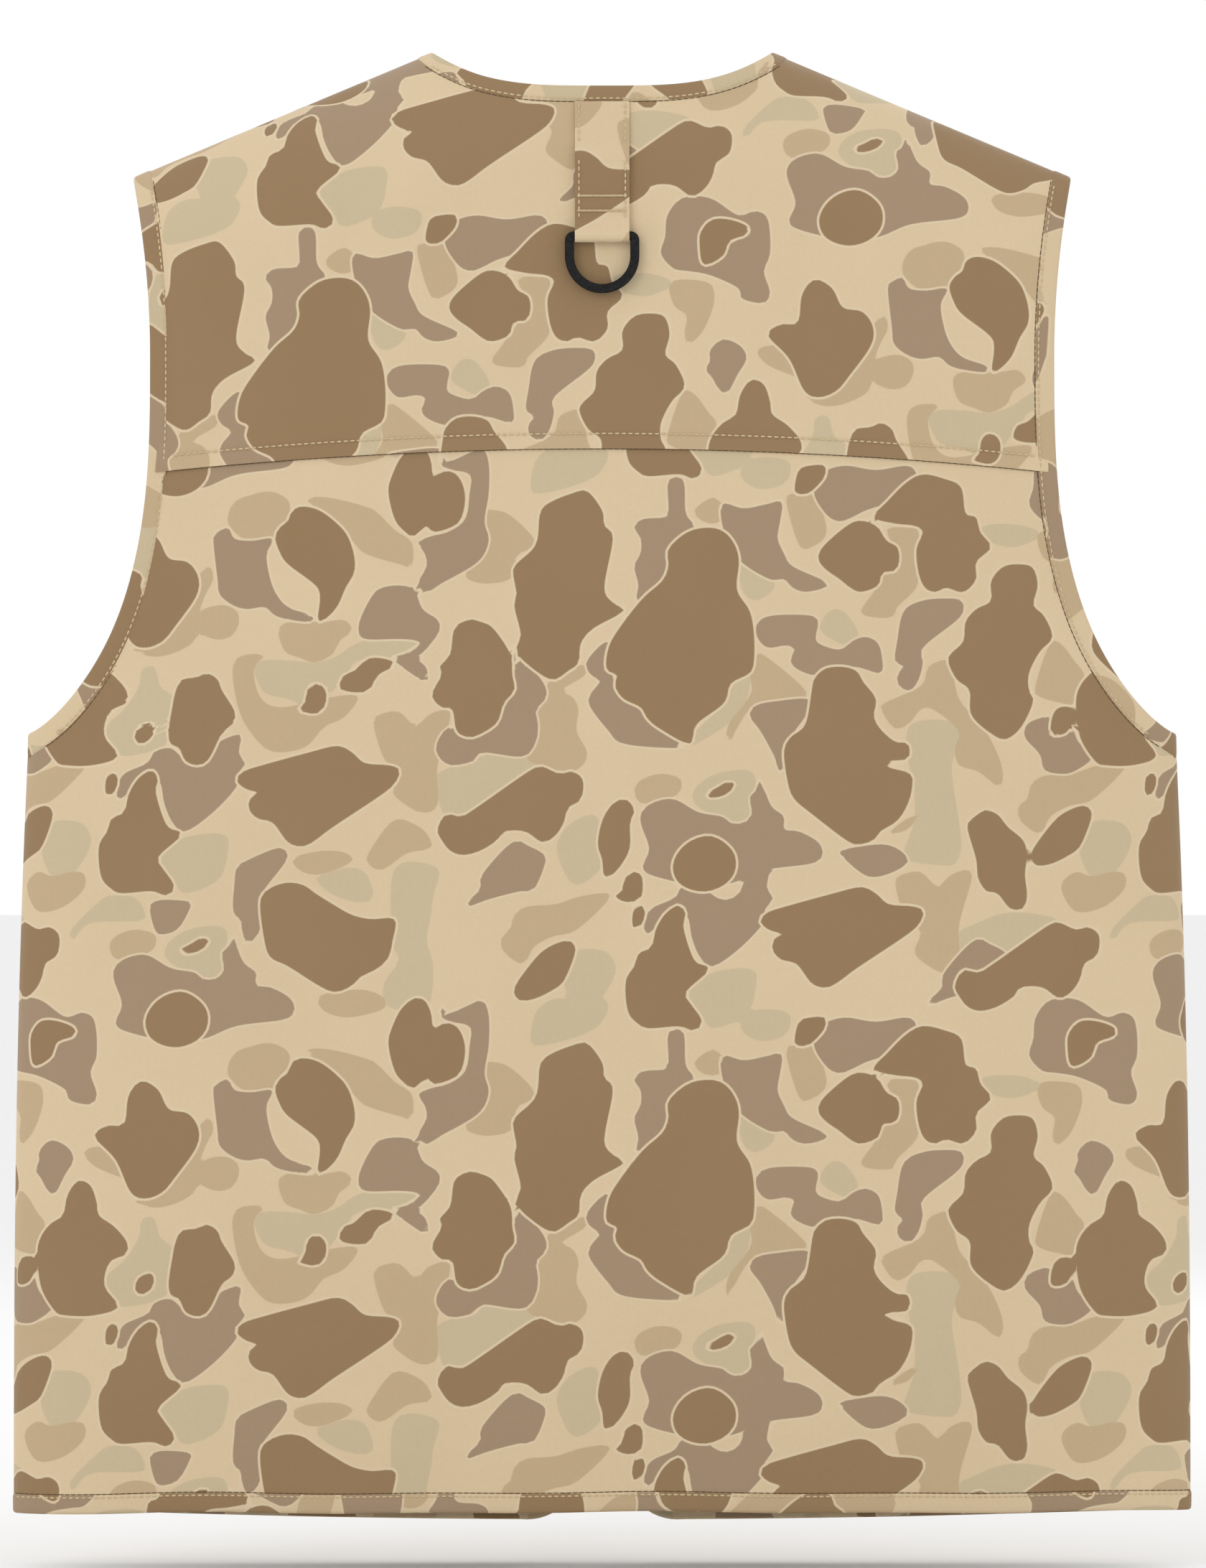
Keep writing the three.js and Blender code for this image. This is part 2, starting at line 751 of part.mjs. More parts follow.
// A bag of cloth on the front: its own front, sides and bottom, open at the top and to the panel.
function pocketBag(pocket) {
  const outer = layer(restGap, pocket.bulge).intersect(
    frontPrism(roundBottomed(pocket.inner, pocket.outer, pocket.bottom, pocket.top, pocketCorner)),
  );
  const hollow = layer(-cloth, pocket.bulge - cloth).intersect(
    frontPrism(
      roundBottomed(
        pocket.inner + cloth,
        pocket.outer - cloth,
        pocket.bottom + cloth,
        pocket.top + cloth,
        pocketCorner - cloth,
      ),
    ),
  );
  return outer.subtract(hollow);
}

// The flap is sewn down above the pocket's mouth, steps out over it and hangs in front.
function pocketFlap(pocket) {
  const seamLift = restGap + cloth / 2;
  const hangLift = pocket.bulge + flapLift + cloth / 2;
  const shoulder = pocket.top + cloth / 2 + 3 * seamGap;
  const middle = [
    [seamLift, pocket.top + flapRise],
    [seamLift, pocket.top + flapRise - flapSeam],
    [hangLift - 1.5, shoulder + 1.5],
    [hangLift, shoulder - 1],
    [hangLift, pocket.top - pocket.flap],
  ];
  const left = pocket.inner - flapOverhang;
  const right = pocket.outer + flapOverhang;
  const steps = 8;
  const full = laidOnBody(ribbonProfile(middle, cloth), left, right, steps, FRONT);
  const trim = roundBottomed(
    left - 10,
    right + 10,
    pocket.top - pocket.flap,
    pocket.top + 3 * flapRise,
    flapCorner + 10,
  );
  return full.intersect(throughPrism(trim));
}

const snapPlace = (pocket) => ({
  x: (pocket.inner + pocket.outer) / 2,
  z: pocket.top - pocket.flap + snapAboveFlapEdge,
});

// A snap's cap, on the outside of the flap, and the stud it closes on, on the pocket's front.
const snapCap = () =>
  new THREE.LatheGeometry(
    [
      flat(0, 0),
      flat(capRadius * 0.9, 0),
      flat(capRadius, capHeight * 0.3),
      flat(capRadius * 0.9, capHeight * 0.75),
      flat(capRadius * 0.5, capHeight),
      flat(0, capHeight),
    ],
    18,
  );

const snapStud = () =>
  new THREE.LatheGeometry(
    [
      flat(0, 0),
      flat(studRadius, 0),
      flat(studRadius, studHeight * 0.4),
      flat(studRadius * 0.5, studHeight),
      flat(0, studHeight),
    ],
    14,
  );

// Turns and moves a piece whose own +Y points out of the body so that it sits on the body there.
function seatOnBody(mesh, x, z, face, lift) {
  const surface = bodyPoint(x, z, face, 0);
  const outward = bodyNormal(surface.x, surface.y, surface.z);
  mesh.position.copy(surface).addScaledVector(outward, lift);
  mesh.quaternion.setFromUnitVectors(new THREE.Vector3(0, 1, 0), outward);
  return mesh;
}

// ---------------------------------------------------------------- the assembly

const vest = new THREE.Group();
vest.name = "fishing_vest";
vest.position.z = -neckPointHeight;

const looks = {
  print: { color: 0xb79c72, roughness: 0.78, metalness: 0 },
  binding: { color: 0xc4ab80, roughness: 0.78, metalness: 0 },
  tab: { color: 0xcdb58b, roughness: 0.75, metalness: 0 },
  tape: { color: 0xa78f66, roughness: 0.85, metalness: 0 },
  blackPlastic: { color: 0x1f2022, roughness: 0.5, metalness: 0 },
  nylon: { color: 0x8d7751, roughness: 0.55, metalness: 0 },
  metal: { color: 0x6f6454, roughness: 0.38, metalness: 0.9 },
};

function addPiece(parent, name, shape, look) {
  const geometry = shape.isBufferGeometry ? shape : geometryOf(shape);
  const mesh = new THREE.Mesh(geometry, new THREE.MeshStandardMaterial(looks[look]));
  mesh.name = name;
  parent.add(mesh);
  return mesh;
}

addPiece(vest, "back_panel", backPanel(), "print");
addPiece(vest, "back_yoke", backYoke(), "print");
addPiece(vest, "neck_binding", neckBinding(), "binding");
addPiece(vest, "back_hem_binding", backHemBinding(), "binding");
addPiece(vest, "hang_loop", hangLoop(), "tape");
addPiece(vest, "ring_tab", ringTab(), "tab");
const ring = addPiece(vest, "back_d_ring", dRing(), "blackPlastic");
ring.position.copy(bodyPoint(0, ringBarHeight, BACK, barLift));

const halfShapes = {
  armhole_binding: [armholeBinding(), "binding"],
  front_side_panel: [frontSolid().intersect(sideOfFold()), "print"],
  front_edge_panel: [frontSolid().intersect(edgeOfFold()), "print"],
  edge_neck_binding: [edgeNeckBinding(), "binding"],
  side_hem_binding: [frontHemBinding(sideOfFold()), "binding"],
  edge_hem_binding: [frontHemBinding(edgeOfFold()), "binding"],
  zip_tape: [zipTape(), "tape"],
  zip_top_stop: [
    zipFitting(coilInner, coilOuter, zipTopHeight - stopHeight, zipTopHeight),
    "metal",
  ],
};

const coilBottoms = {
  right: zipBottomHeight + boxHeight + seamGap,
  left: zipBottomHeight + pinHeight + seamGap,
};

for (const side of ["right", "left"]) {
  const half = new THREE.Group();
  half.scale.x = side === "right" ? 1 : -1;
  vest.add(half);
  for (const [name, [shape, look]] of Object.entries(halfShapes))
    addPiece(half, name + "_" + side, shape, look);
  addPiece(half, "zip_coil_" + side, zipCoil(coilBottoms[side]), "nylon");
  for (const [place, pocket] of [["chest", chestPocket], ["lower", lowerPocket]]) {
    const name = place + "_pocket";
    addPiece(half, name + "_bag_" + side, pocketBag(pocket), "print");
    addPiece(half, name + "_flap_" + side, pocketFlap(pocket), "print");
    const snap = snapPlace(pocket);
    const capLift = pocket.bulge + flapLift + cloth + seamGap;
    const cap = addPiece(half, name + "_snap_cap_" + side, snapCap(), "metal");
    seatOnBody(cap, snap.x, snap.z, FRONT, capLift);
    const stud = addPiece(half, name + "_snap_stud_" + side, snapStud(), "metal");
    seatOnBody(stud, snap.x, snap.z, FRONT, pocket.bulge + seamGap);
  }
}

const boxShape = zipFitting(
  coilInner - (boxWidth - coilWidth) / 2,
  coilOuter + (boxWidth - coilWidth) / 2,
  zipBottomHeight,
  zipBottomHeight + boxHeight,
);
addPiece(vest, "zip_retainer_box", boxShape, "metal");
const pinShape = zipFitting(
  -coilOuter,
  -coilInner,
  zipBottomHeight,
  zipBottomHeight + pinHeight,
);
addPiece(vest, "zip_insertion_pin", pinShape, "metal");

const sliderMiddle = coilInner - runClearance - sliderWeb / 2;
const sliderBottom = zipBottomHeight + boxHeight + 2 * seamGap;
const frontDepth = bodyPoint(coilInner, sliderBottom, FRONT, 0).y;
const slider = addPiece(vest, "zip_slider", zipSlider(), "metal");
slider.position.set(sliderMiddle, frontDepth, sliderBottom);
const pull = addPiece(vest, "zip_pull", zipPull(), "metal");
const pullLift =
  coilHigh + runClearance + sliderPlate + (bridgeHeight - bridgeWall) / 2;
pull.position.set(sliderMiddle, frontDepth + pullLift, sliderBottom + sliderLength / 2);

export default vest;
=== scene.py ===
"""Fishing vest in blotch-printed poplin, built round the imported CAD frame.

Lengths are millimetres and heights run up from the lowest point of the front hem, until place()
and metres() turn them into the frame's metres. x is the wearer's right, y the front, z up.
"""

import json
import math

import bmesh
import bpy
import numpy as np
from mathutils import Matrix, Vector


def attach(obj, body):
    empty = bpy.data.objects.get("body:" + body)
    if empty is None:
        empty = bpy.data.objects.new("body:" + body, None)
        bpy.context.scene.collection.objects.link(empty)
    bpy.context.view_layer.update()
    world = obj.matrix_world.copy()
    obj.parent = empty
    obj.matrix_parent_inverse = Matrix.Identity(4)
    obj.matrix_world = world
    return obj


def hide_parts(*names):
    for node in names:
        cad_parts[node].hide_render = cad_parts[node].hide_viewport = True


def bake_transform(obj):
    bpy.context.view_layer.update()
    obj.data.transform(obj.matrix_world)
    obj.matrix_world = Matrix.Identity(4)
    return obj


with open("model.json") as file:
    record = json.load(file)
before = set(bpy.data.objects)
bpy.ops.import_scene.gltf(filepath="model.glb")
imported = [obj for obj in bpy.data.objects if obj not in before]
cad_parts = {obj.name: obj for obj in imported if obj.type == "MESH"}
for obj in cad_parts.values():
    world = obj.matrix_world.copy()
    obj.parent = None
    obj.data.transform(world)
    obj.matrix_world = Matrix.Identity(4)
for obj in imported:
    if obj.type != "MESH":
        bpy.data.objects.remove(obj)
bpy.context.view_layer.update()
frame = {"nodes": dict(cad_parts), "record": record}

# ------------------------------------------------------------------ driving dimensions (mm)

HEM_HALF = 276.7
CHEST_HALF = 269.6
BODY_DEPTH = 38.0
SHOULDER_ROUND = 70.0
NECK_HEIGHT = 691.6
NECK_HALF = 79.7
BACK_NECK_DROP = 17.0
FRONT_NECK_DROP = 140.0
NECK_PULL_IN = 16  # middle control point of the front neckline, in from the neck point
NECK_PULL_UP = 0.42  # and its share of the drop
SHOULDER_HALF = 220.4
SHOULDER_DROP = 59.0
UNDERARM = 371.6
ARMHOLE_HALF = 211.8
ARMHOLE_NARROW = 548.6
ARMHOLE_ACROSS = 1.3
ARMHOLE_UP = 3.0
SIDE_POWER = 2.6
BACK_NECK_POWER = 3.4
HEM_DROP = 7.0
PRINT_FOOT = 3.6  # height of the print's zero line
YOKE_SEAM = 504.6
YOKE_SEAM_DROP = 11.0
FRONT_EDGE = 10.5
HEM_CORNER = 25.0
BINDING = 9.0
NECK_BINDING = 7.7
FOLD_HEM = 95.0
FOLD_SHARE = 0.52
SLOPE = SHOULDER_DROP / (SHOULDER_HALF - NECK_HALF)

CLOTH = 0.9  # visible thickness of the poplin
MM = 0.001
BACK, FRONT = -1, 1

CHEST_POCKET = dict(inner=76, outer=186, bottom=392, top=512, bulge=13, flap=36)
LOWER_POCKET = dict(inner=108, outer=232, bottom=52, top=206, bulge=19, flap=44)

# ------------------------------------------------------------------ the print's motifs

# One repeat of the print, drawn on the lower back. Each blob is a closed outline, x then z for
# each point, and "again" moves it to where the design uses it a second time in the repeat.
TILE_WIDTH, TILE_HEIGHT = 488, 258


def blob(*numbers, again=None):
    return np.array(numbers, float).reshape(-1, 2), again


SAGE = [
    blob(-264,311, -263,317, -259,326, -249,327, -242,324, -240,315, -250,300, -259,301, again=(246, -60)),
    blob(-208,309, -198,318, -185,321, -176,320, -175,314, -179,300, -195,293, -201,300, again=(247, -63)),
    blob(-233,370, -224,379, -217,390, -216,398, -210,399, -207,390, -201,385, -201,378, -203,370, -204,363,
         -213,359, -227,358),
    blob(-163,398, -159,402, -146,402, -134,401, -124,404, -115,410, -105,412, -86,410, -92,404, -114,402,
         -120,395, -134,380, -147,384, -158,387),
    blob(-249,276, -236,289, -230,292, -219,291, -214,283, -217,280, -240,279, -248,271),
    blob(42,338, 46,345, 57,350, 71,349, 70,331, 66,326, 60,326, 47,332, again=(-247, -73)),
    blob(-134,300, -127,303, -120,305, -111,303, -107,291, -115,289, -127,293),
    blob(-97,305, -77,305, -79,292, -80,283, -82,271, -79,259, -82,240, -100,240, -102,251, -95,262,
         -98,271),
    blob(144,372, 168,372, 164,355, 164,346, 168,318, 166,308, 161,306, 142,309, 143,318, 146,327, 146,343,
         144,350),
    blob(-78,347, -71,352, -54,358, -34,356, -24,350, -31,352, -49,341, -66,330, -74,330, again=(244, -74)),
    blob(-21,312, -19,321, -13,327, -4,330, -1,324, 0,306, -13,297),
    blob(59,391, 69,395, 67,382, 60,373, 42,362, 41,366, 57,382),
    blob(102,416, 105,424, 109,426, 114,424, 120,414, 114,409),
    blob(64,448, 80,439, 79,434, 72,430, 66,434),
    blob(176,460, 179,465, 188,466, 198,465, 205,462, 204,459, 191,455),
    blob(65,492, 70,496, 78,497, 87,495, 88,489, 84,484, 74,482, 66,486),
    blob(-30,497, -33,489, -33,481, -28,480, -15,483, -5,487, 0,491, 3,499, -3,503, -12,501, -22,502),
]

TAN = [
    blob(-243,430, -234,432, -226,425, -205,412, -223,417, -238,423),
    blob(204,461, 212,463, 223,461, 225,454, 223,446, 219,438, 213,433, 211,438, 212,446, 206,451),
    blob(-175,466, -173,475, -166,479, -155,479, -147,474, -147,467, -155,459, -166,458),
    blob(-138,478, -127,478, -111,474, -105,471, -97,463, -89,457, -89,446, -95,447, -111,452, -118,459,
         -134,473),
    blob(-190,417, -188,425, -178,428, -171,425, -170,419, -174,413, -182,412),
    blob(-221,408, -212,404, -202,405, -191,411, -190,420, -186,432, -182,440, -184,446, -190,440, -194,428,
         -202,416, -210,409),
    blob(-150,419, -130,420, -121,421, -117,416, -123,411, -126,405, -134,401, -141,403, -149,407),
    blob(-173,395, -171,403, -164,405, -158,404, -163,398, -160,385, -150,380, -126,385, -114,385, -121,375,
         -130,371, -138,362, -150,359, -159,362, -169,376),
    blob(-107,373, -103,377, -95,378, -87,371, -82,376, -74,379, -71,375, -77,353, -77,334, -85,331,
         -94,336, -98,341, -95,350, -102,356, again=(244, -75)),
    blob(-110,308, -108,314, -98,327, -89,326, -82,321, -80,314, -91,312, -103,304),
    blob(-145,308, -141,311, -130,313, -120,312, -117,308, -131,302, -140,303),
    blob(-133,244, -126,247, -112,248, -103,245, -101,240, -108,237, -120,235, -130,238),
    blob(-273,297, -266,303, -259,301, -249,303, -243,302, -243,295, -252,287, -263,284, -269,287),
    blob(195,334, 199,337, 201,344, 207,348, 220,349, 233,353, 246,353, 230,337, 219,334, 210,329, 205,321,
         196,327, again=(-242, -61)),
    blob(-57,471, -49,472, -42,469, -32,459, -34,454, -40,451, -41,443, -45,439, -57,438, -64,443, -53,459),
    blob(-24,393, -9,400, -8,395, -19,388, -14,385, -11,379, -12,369, -7,359, -10,352, -19,350, -36,357,
         -30,373, -31,378),
    blob(15,341, 18,346, 27,349, 36,347, 37,342, 33,338, 19,335, again=(-246, -73)),
    blob(72,405, 79,402, 95,388, 92,383, 71,381, 59,363, 59,372, 66,381, 70,388, 69,396),
    blob(133,463, 144,464, 148,462, 148,445, 147,436, 138,427, 135,422, 121,424, 127,434, 131,442, 138,444,
         139,451),
    blob(43,472, 47,467, 53,466, 57,469, 56,475, 51,478),
    blob(86,477, 91,480, 100,478, 105,462, 98,455, 92,456),
    blob(131,378, 132,382, 149,390, 152,398, 156,401, 163,401, 167,384, 179,370, 187,353, 186,343, 176,350,
         167,353, 165,361, 167,369, 155,379, 149,379, 144,373, 137,370),
    blob(210,410, 216,409, 222,401, 226,395, 221,382, 216,382, 205,385, 203,390),
    blob(134,321, 141,327, 148,330, 143,323),
    blob(-170,473, -165,479, -155,481, -147,477, -147,471, -158,468),
]

MAUVE = [
    blob(223,430, 229,435, 237,432, 240,426, 236,419, 231,410, 227,412, 224,417, 221,421, 223,425),
    blob(-182,459, -180,462, -175,464, -172,459, -164,458, -154,459, -157,452, -156,443, -153,434, -147,427,
         -136,423, -136,420, -146,421, -153,423, -158,427, -166,426, -173,428, -179,433, -180,440),
    blob(-107,433, -103,436, -95,437, -88,435, -84,426, -77,421, -76,416, -80,410, -86,404, -95,404,
         -86,408, -86,411, -95,412, -111,412, -114,417, -112,424),
    blob(-98,403, -91,404, -86,402, -82,398, -82,392, -88,395),
    blob(-227,343, -224,349, -213,354, -210,359, -202,361, -195,355, -189,353, -183,356, -180,363, -175,366,
         -169,367, -170,359, -167,353, -171,349, -171,343, -182,331, -195,322, -201,326, -205,335, -207,345,
         -213,350, -222,340, -227,337, again=(247, -63)),
    blob(-212,286, -210,289, -204,290, -193,289, -193,286, -198,277, -204,274, -209,275),
    blob(-172,298, -171,305, -167,308, -153,314, -148,313, -148,308, -158,295, -161,289, -159,283, -161,280,
         -172,283),
    blob(-169,279, -166,282, -160,280, -161,274, -166,270),
    blob(31,486, 38,486, 39,471, 43,464, 35,456, 31,455, 31,446, 24,434, 16,430, 17,437, 15,446, 18,452,
         18,459, 15,464, 19,468, 30,469, 31,474),
    blob(56,475, 66,473, 77,475, 84,476, 83,466, 82,459, 85,452, 89,446, 104,439, 104,436, 95,434, 89,436,
         85,440, 78,440, 64,449, 57,462),
    blob(72,414, 73,420, 80,423, 97,423, 101,420, 100,414, 101,410, 111,407, 117,411, 123,413, 129,410,
         131,402, 130,396, 118,399, 104,397, 99,395, 91,398, 88,402, 90,407, 86,409, 77,408),
    blob(69,376, 72,381, 82,383, 96,384, 97,379, 88,366, 85,359, 86,353, 83,350, 80,358, 74,369),
    blob(3,411, -7,402, -6,396, -1,392, -5,387, -6,381, 3,369, 10,363, 33,361, 37,363, 28,372, 14,385,
         6,398),
    blob(-41,406, -30,395, -26,388, -27,383, -31,379, -30,372, -31,364, -37,357, -56,359, -60,355, -71,353,
         -77,358, -77,364, -71,371, -60,366, -50,374, -42,390),
    blob(-86,457, -83,452, -82,446, -86,438, -82,434, -75,438, -58,448, -53,458, -55,467, -53,480, -53,494,
         -56,501, -62,499, -72,495, -76,500, -74,492, -62,489, -62,480, -64,468, -72,462, -80,460),
    blob(-63,289, -57,295, -56,302, -42,317, -34,315, -27,311, -27,306, -32,295, -39,294, -54,290, -62,287,
         again=(216, -46)),
    blob(138,411, 141,425, 150,430, 161,431, 168,430, 169,425, 165,420, 150,408, 150,401, 148,393, 144,388,
         139,390, 138,395, 141,399, 137,402),
    blob(18,326, 19,332, 25,336, 34,337, 45,331, 56,329, 60,326, 66,326, 70,330, 69,338, 72,341, 74,346,
         79,334, 85,329, 85,323, 92,322, 101,317, 103,311, 98,307, 76,304, 61,298, 48,297, 37,298, 22,302,
         19,306, 22,314, again=(-247, -73)),
    blob(111,312, 115,314, 130,316, 138,314, 143,309, 140,305, 130,301, 122,302),
    blob(198,366, 199,372, 205,375, 210,375, 212,366, 217,369, 220,372, 223,364, 230,357, 221,350, 214,349,
         207,351, 205,358),
    blob(99,480, 105,470, 111,467, 117,469, 123,472, 134,476, 141,482, 147,488, 143,493, 128,491, 113,493,
         102,489),
    blob(250,491, 251,475, 248,467, 251,457, 248,452, 238,454, 236,459, 223,465, 212,467, 206,468, 200,475,
         202,483, 203,493, 210,501, 223,501, 236,493, 244,495),
]

BROWN = [
    blob(-216,463, -208,459, -203,450, -194,448, -189,441, -190,432, -200,418, -206,411, -214,408, -221,411,
         -228,426, -238,437, -232,442, -224,443, -222,456),
    blob(-266,382, -264,390, -259,396, -253,400, -251,409, -246,416, -240,414, -237,406, -236,400, -229,395,
         -223,388, -223,382, -230,379, -233,373, -233,366, -227,357, -239,353, -252,353, -257,355, -264,366),
    blob(201,309, 202,314, 211,326, 217,331, 225,334, 229,332, 229,327, 224,315, 219,311, 211,307, 204,306,
         again=(-242, -63)),
    blob(-210,350, -208,346, -209,340, -204,325, -198,322, -198,319, -208,310, -206,305, -201,298, -201,294,
         -205,292, -211,294, -225,293, -230,295, -235,301, -236,315, -232,322, -230,328, -224,331, -222,339,
         -218,346, -213,350, again=(247, -63)),
    blob(-171,346, -168,350, -159,353, -137,359, -124,362, -117,359, -111,354, -100,353, -95,351, -96,346,
         -102,340, -126,324, -134,318, -140,315, -147,317, -154,326, -161,328, -165,332, -165,337, -161,340,
         -167,342, again=(245, -66)),
    blob(-160,289, -156,295, -148,298, -140,297, -134,293, -126,288, -117,283, -108,281, -97,281, -98,271,
         -100,263, -105,258, -113,254, -117,250, -124,247, -131,249, -147,259, -155,263, -158,271),
    blob(-201,382, -200,387, -197,393, -190,394, -185,396, -180,393, -178,388, -172,378, -173,372, -178,368,
         -184,356, -189,353, -195,355, -198,361, -202,363, -203,369),
    blob(-153,460, -150,465, -147,467, -145,472, -140,474, -132,472, -124,466, -119,460, -116,451, -116,443,
         -120,436, -124,427, -130,421, -133,421, -132,431, -134,437, -147,447, -151,453),
    blob(-100,481, -97,468, -92,462, -88,460, -82,465, -79,462, -71,464, -66,468, -64,478, -66,486, -70,490,
         -75,490, -79,488, -80,495, -83,501, -88,502, -94,497, -98,489),
    blob(-62,421, -57,420, -51,417, -43,405, -42,395, -41,388, -46,382, -49,373, -56,368, -62,366, -68,369,
         -70,379, -75,380, -79,384, -79,388, -75,395, -76,399, -71,405, -69,417),
    blob(-14,480, -24,476, -29,471, -31,456, -41,446, -41,439, -40,433, -41,427, -38,414, -40,408, -37,402,
         -24,393, -16,397, -11,401, -10,410, -4,417, 10,425, 5,429, 1,436, 5,459, 1,465, 0,472, -7,481),
    blob(31,454, 40,462, 50,464, 57,462, 62,456, 64,448, 63,435, 69,425, 71,414, 71,402, 69,396, 60,391,
         57,382, 44,372, 41,363, 27,370, 21,375, 18,380, 10,384, 6,390, 7,395, 2,398, 3,408, 8,417, 19,431,
         28,439, 31,446),
    blob(-77,323, -73,330, -66,329, -59,333, -39,347, -31,352, -27,352, -20,349, -14,350, -9,346, -10,337,
         -16,333, -18,326, -22,320, -28,317, -36,322, -46,322, -49,318, -57,313, -65,311, -71,313, -75,318,
         again=(242, -73)),
    blob(98,388, 99,393, 104,398, 112,399, 119,397, 122,392, 128,384, 127,376, 130,370, 137,364, 143,363,
         143,356, 133,355, 134,352, 144,349, 145,343, 143,335, 138,327, 130,322, 127,318, 120,316, 114,318,
         97,331, 90,337, 87,344, 85,359, 88,366, 95,372),
    blob(101,450, 104,456, 116,466, 123,467, 129,464, 133,458, 138,455, 139,449, 137,444, 131,443, 129,437,
         121,434, 116,436, 111,440, 104,445),
    blob(127,469, 133,476, 142,485, 150,489, 160,487, 168,483, 170,471, 175,469, 177,462, 182,455, 175,448,
         175,440, 169,434, 161,436, 156,434, 151,436, 148,443, 147,454, 150,462, 146,465, 137,466),
    blob(182,430, 182,439, 188,446, 197,447, 202,445, 204,437, 202,428, 207,423, 211,413, 205,406, 200,396,
         200,388, 202,383, 197,372, 191,366, 185,366, 173,376, 172,388, 166,393, 162,401, 163,405, 169,411,
         170,420, 175,426),
    blob(172,327, 176,330, 179,332, 185,330, 190,324, 197,318, 199,311, 198,302, 199,292, 197,286, 191,286,
         185,293, 180,294, 176,300, 175,309, 171,323),
    blob(0,309, -2,316, 0,327, 5,335, 11,337, 15,332, 13,326, 13,315, 10,308, 5,302, 1,301),
    blob(6,292, 10,295, 10,299, 14,303, 18,302, 19,297, 18,291, 13,289, 8,290),
    blob(14,280, 15,286, 19,287, 20,283, 18,278, 15,277, again=(-247, 62)),
    blob(33,306, 36,313, 42,318, 50,320, 57,317, 62,311, 62,303, 57,297, 49,294, 41,295, 35,299,
         again=(-247, -73)),
    blob(49,340, 53,342, 58,345, 62,344, 59,340, 54,338, 50,338, again=(-246, -73)),
    blob(-142,379, -139,382, -138,388, -135,391, -131,390, -129,386, -130,380, -134,377, -140,378),
    blob(-123,390, -121,395, -116,397, -109,403, -99,402, -98,399, -105,395, -109,388, -115,387, -121,388),
    blob(-219,366, -217,371, -212,373, -210,371, -211,366, -216,363),
    blob(90,483, 92,491, 97,493, 104,493, 104,488, 100,483, 96,480, 91,480),
    blob(210,369, 211,376, 214,380, 220,380, 222,376, 220,372, 217,368, 212,367),
    blob(220,470, 218,480, 219,486, 224,491, 232,491, 240,488, 240,484, 232,481, 229,474),
]

# Each layer is printed over the ones before it, some inside a fine pale outline.
LAYERS = [("sage", SAGE), ("tan", TAN), ("mauve", MAUVE), ("brown", BROWN)]
FAR_FROM_BLOB = 8.0  # distances to the motifs are kept up to this


def smooth_loop(points, steps=5):
    """A closed Catmull-Rom curve through the points."""
    before, after, beyond = (np.roll(points, k, 0) for k in (1, -1, -2))
    curve = []
    for t in np.arange(steps) / steps:
        curve.append(0.5 * (2 * points + (after - before) * t
                            + (2 * before - 5 * points + 4 * after - beyond) * t ** 2
                            + (3 * points - before - 3 * after + beyond) * t ** 3))
    return np.stack(curve, 1).reshape(-1, 2)


def signed_distance(grid, loop):
    """Distance from each grid point to the loop, negative inside it."""
    start, end = loop, np.roll(loop, -1, 0)
    side = end - start
    away = grid[:, None] - start
    along = np.clip((away * side).sum(2) / np.maximum((side ** 2).sum(1), 1e-9), 0, 1)
    distance = np.sqrt(((away - along[..., None] * side) ** 2).sum(2)).min(1)
    rises = (start[:, 1] > grid[:, 1:]) != (end[:, 1] > grid[:, 1:])
    run = side[:, 1] + (side[:, 1] == 0)
    crossing = start[:, 0] + (grid[:, 1:] - start[:, 1]) * side[:, 0] / run
    inside = (rises & (grid[:, :1] < crossing)).sum(1) % 2 == 1
    return np.where(inside, -distance, distance)


def print_tile(blobs):
    """The layer's signed distances over one repeat, at 1 mm spacing."""
    rows, columns = TILE_HEIGHT, TILE_WIDTH
    tile = np.full((rows, columns), FAR_FROM_BLOB)
    for outline, again in blobs:
        for shift in [(0, 0)] + ([again] if again else []):
            loop = smooth_loop(outline) + shift
            low = np.floor(loop.min(0) - FAR_FROM_BLOB).astype(int)
            high = np.ceil(loop.max(0) + FAR_FROM_BLOB).astype(int)
            across, up = np.meshgrid(np.arange(low[0], high[0]), np.arange(low[1], high[1]))
            grid = np.stack([across.ravel(), up.ravel()], 1).astype(float)
            near = signed_distance(grid, loop)
            index = (up.ravel() % rows, across.ravel() % columns)
            np.minimum.at(tile, index, near)
    return tile


TILES = {name: print_tile(blobs) for name, blobs in LAYERS}


def print_at(tile, u, v):
    """The tile read between its samples, repeated in both directions."""
    rows, columns = tile.shape
    u, v = np.mod(u, columns), np.mod(v, rows)
    i, j = np.floor(u).astype(int), np.floor(v).astype(int)
    fu, fv = u - i, v - j
    i2, j2 = (i + 1) % columns, (j + 1) % rows
    i, j = i % columns, j % rows
    low = tile[j, i] * (1 - fu) + tile[j, i2] * fu
    high = tile[j2, i] * (1 - fu) + tile[j2, i2] * fu
    return low * (1 - fv) + high * fv


# ------------------------------------------------------------------ the body's surface

def ridge(x):
    out = np.abs(x)
    arch = NECK_HEIGHT + SLOPE * (NECK_HALF ** 2 - out ** 2) / (2 * NECK_HALF)
    return np.where(out >= NECK_HALF, NECK_HEIGHT - SLOPE * (out - NECK_HALF), arch)


def side_half(z):
    up = np.clip(z / UNDERARM, 0, 1)
    return HEM_HALF - (HEM_HALF - CHEST_HALF) * up ** SIDE_POWER


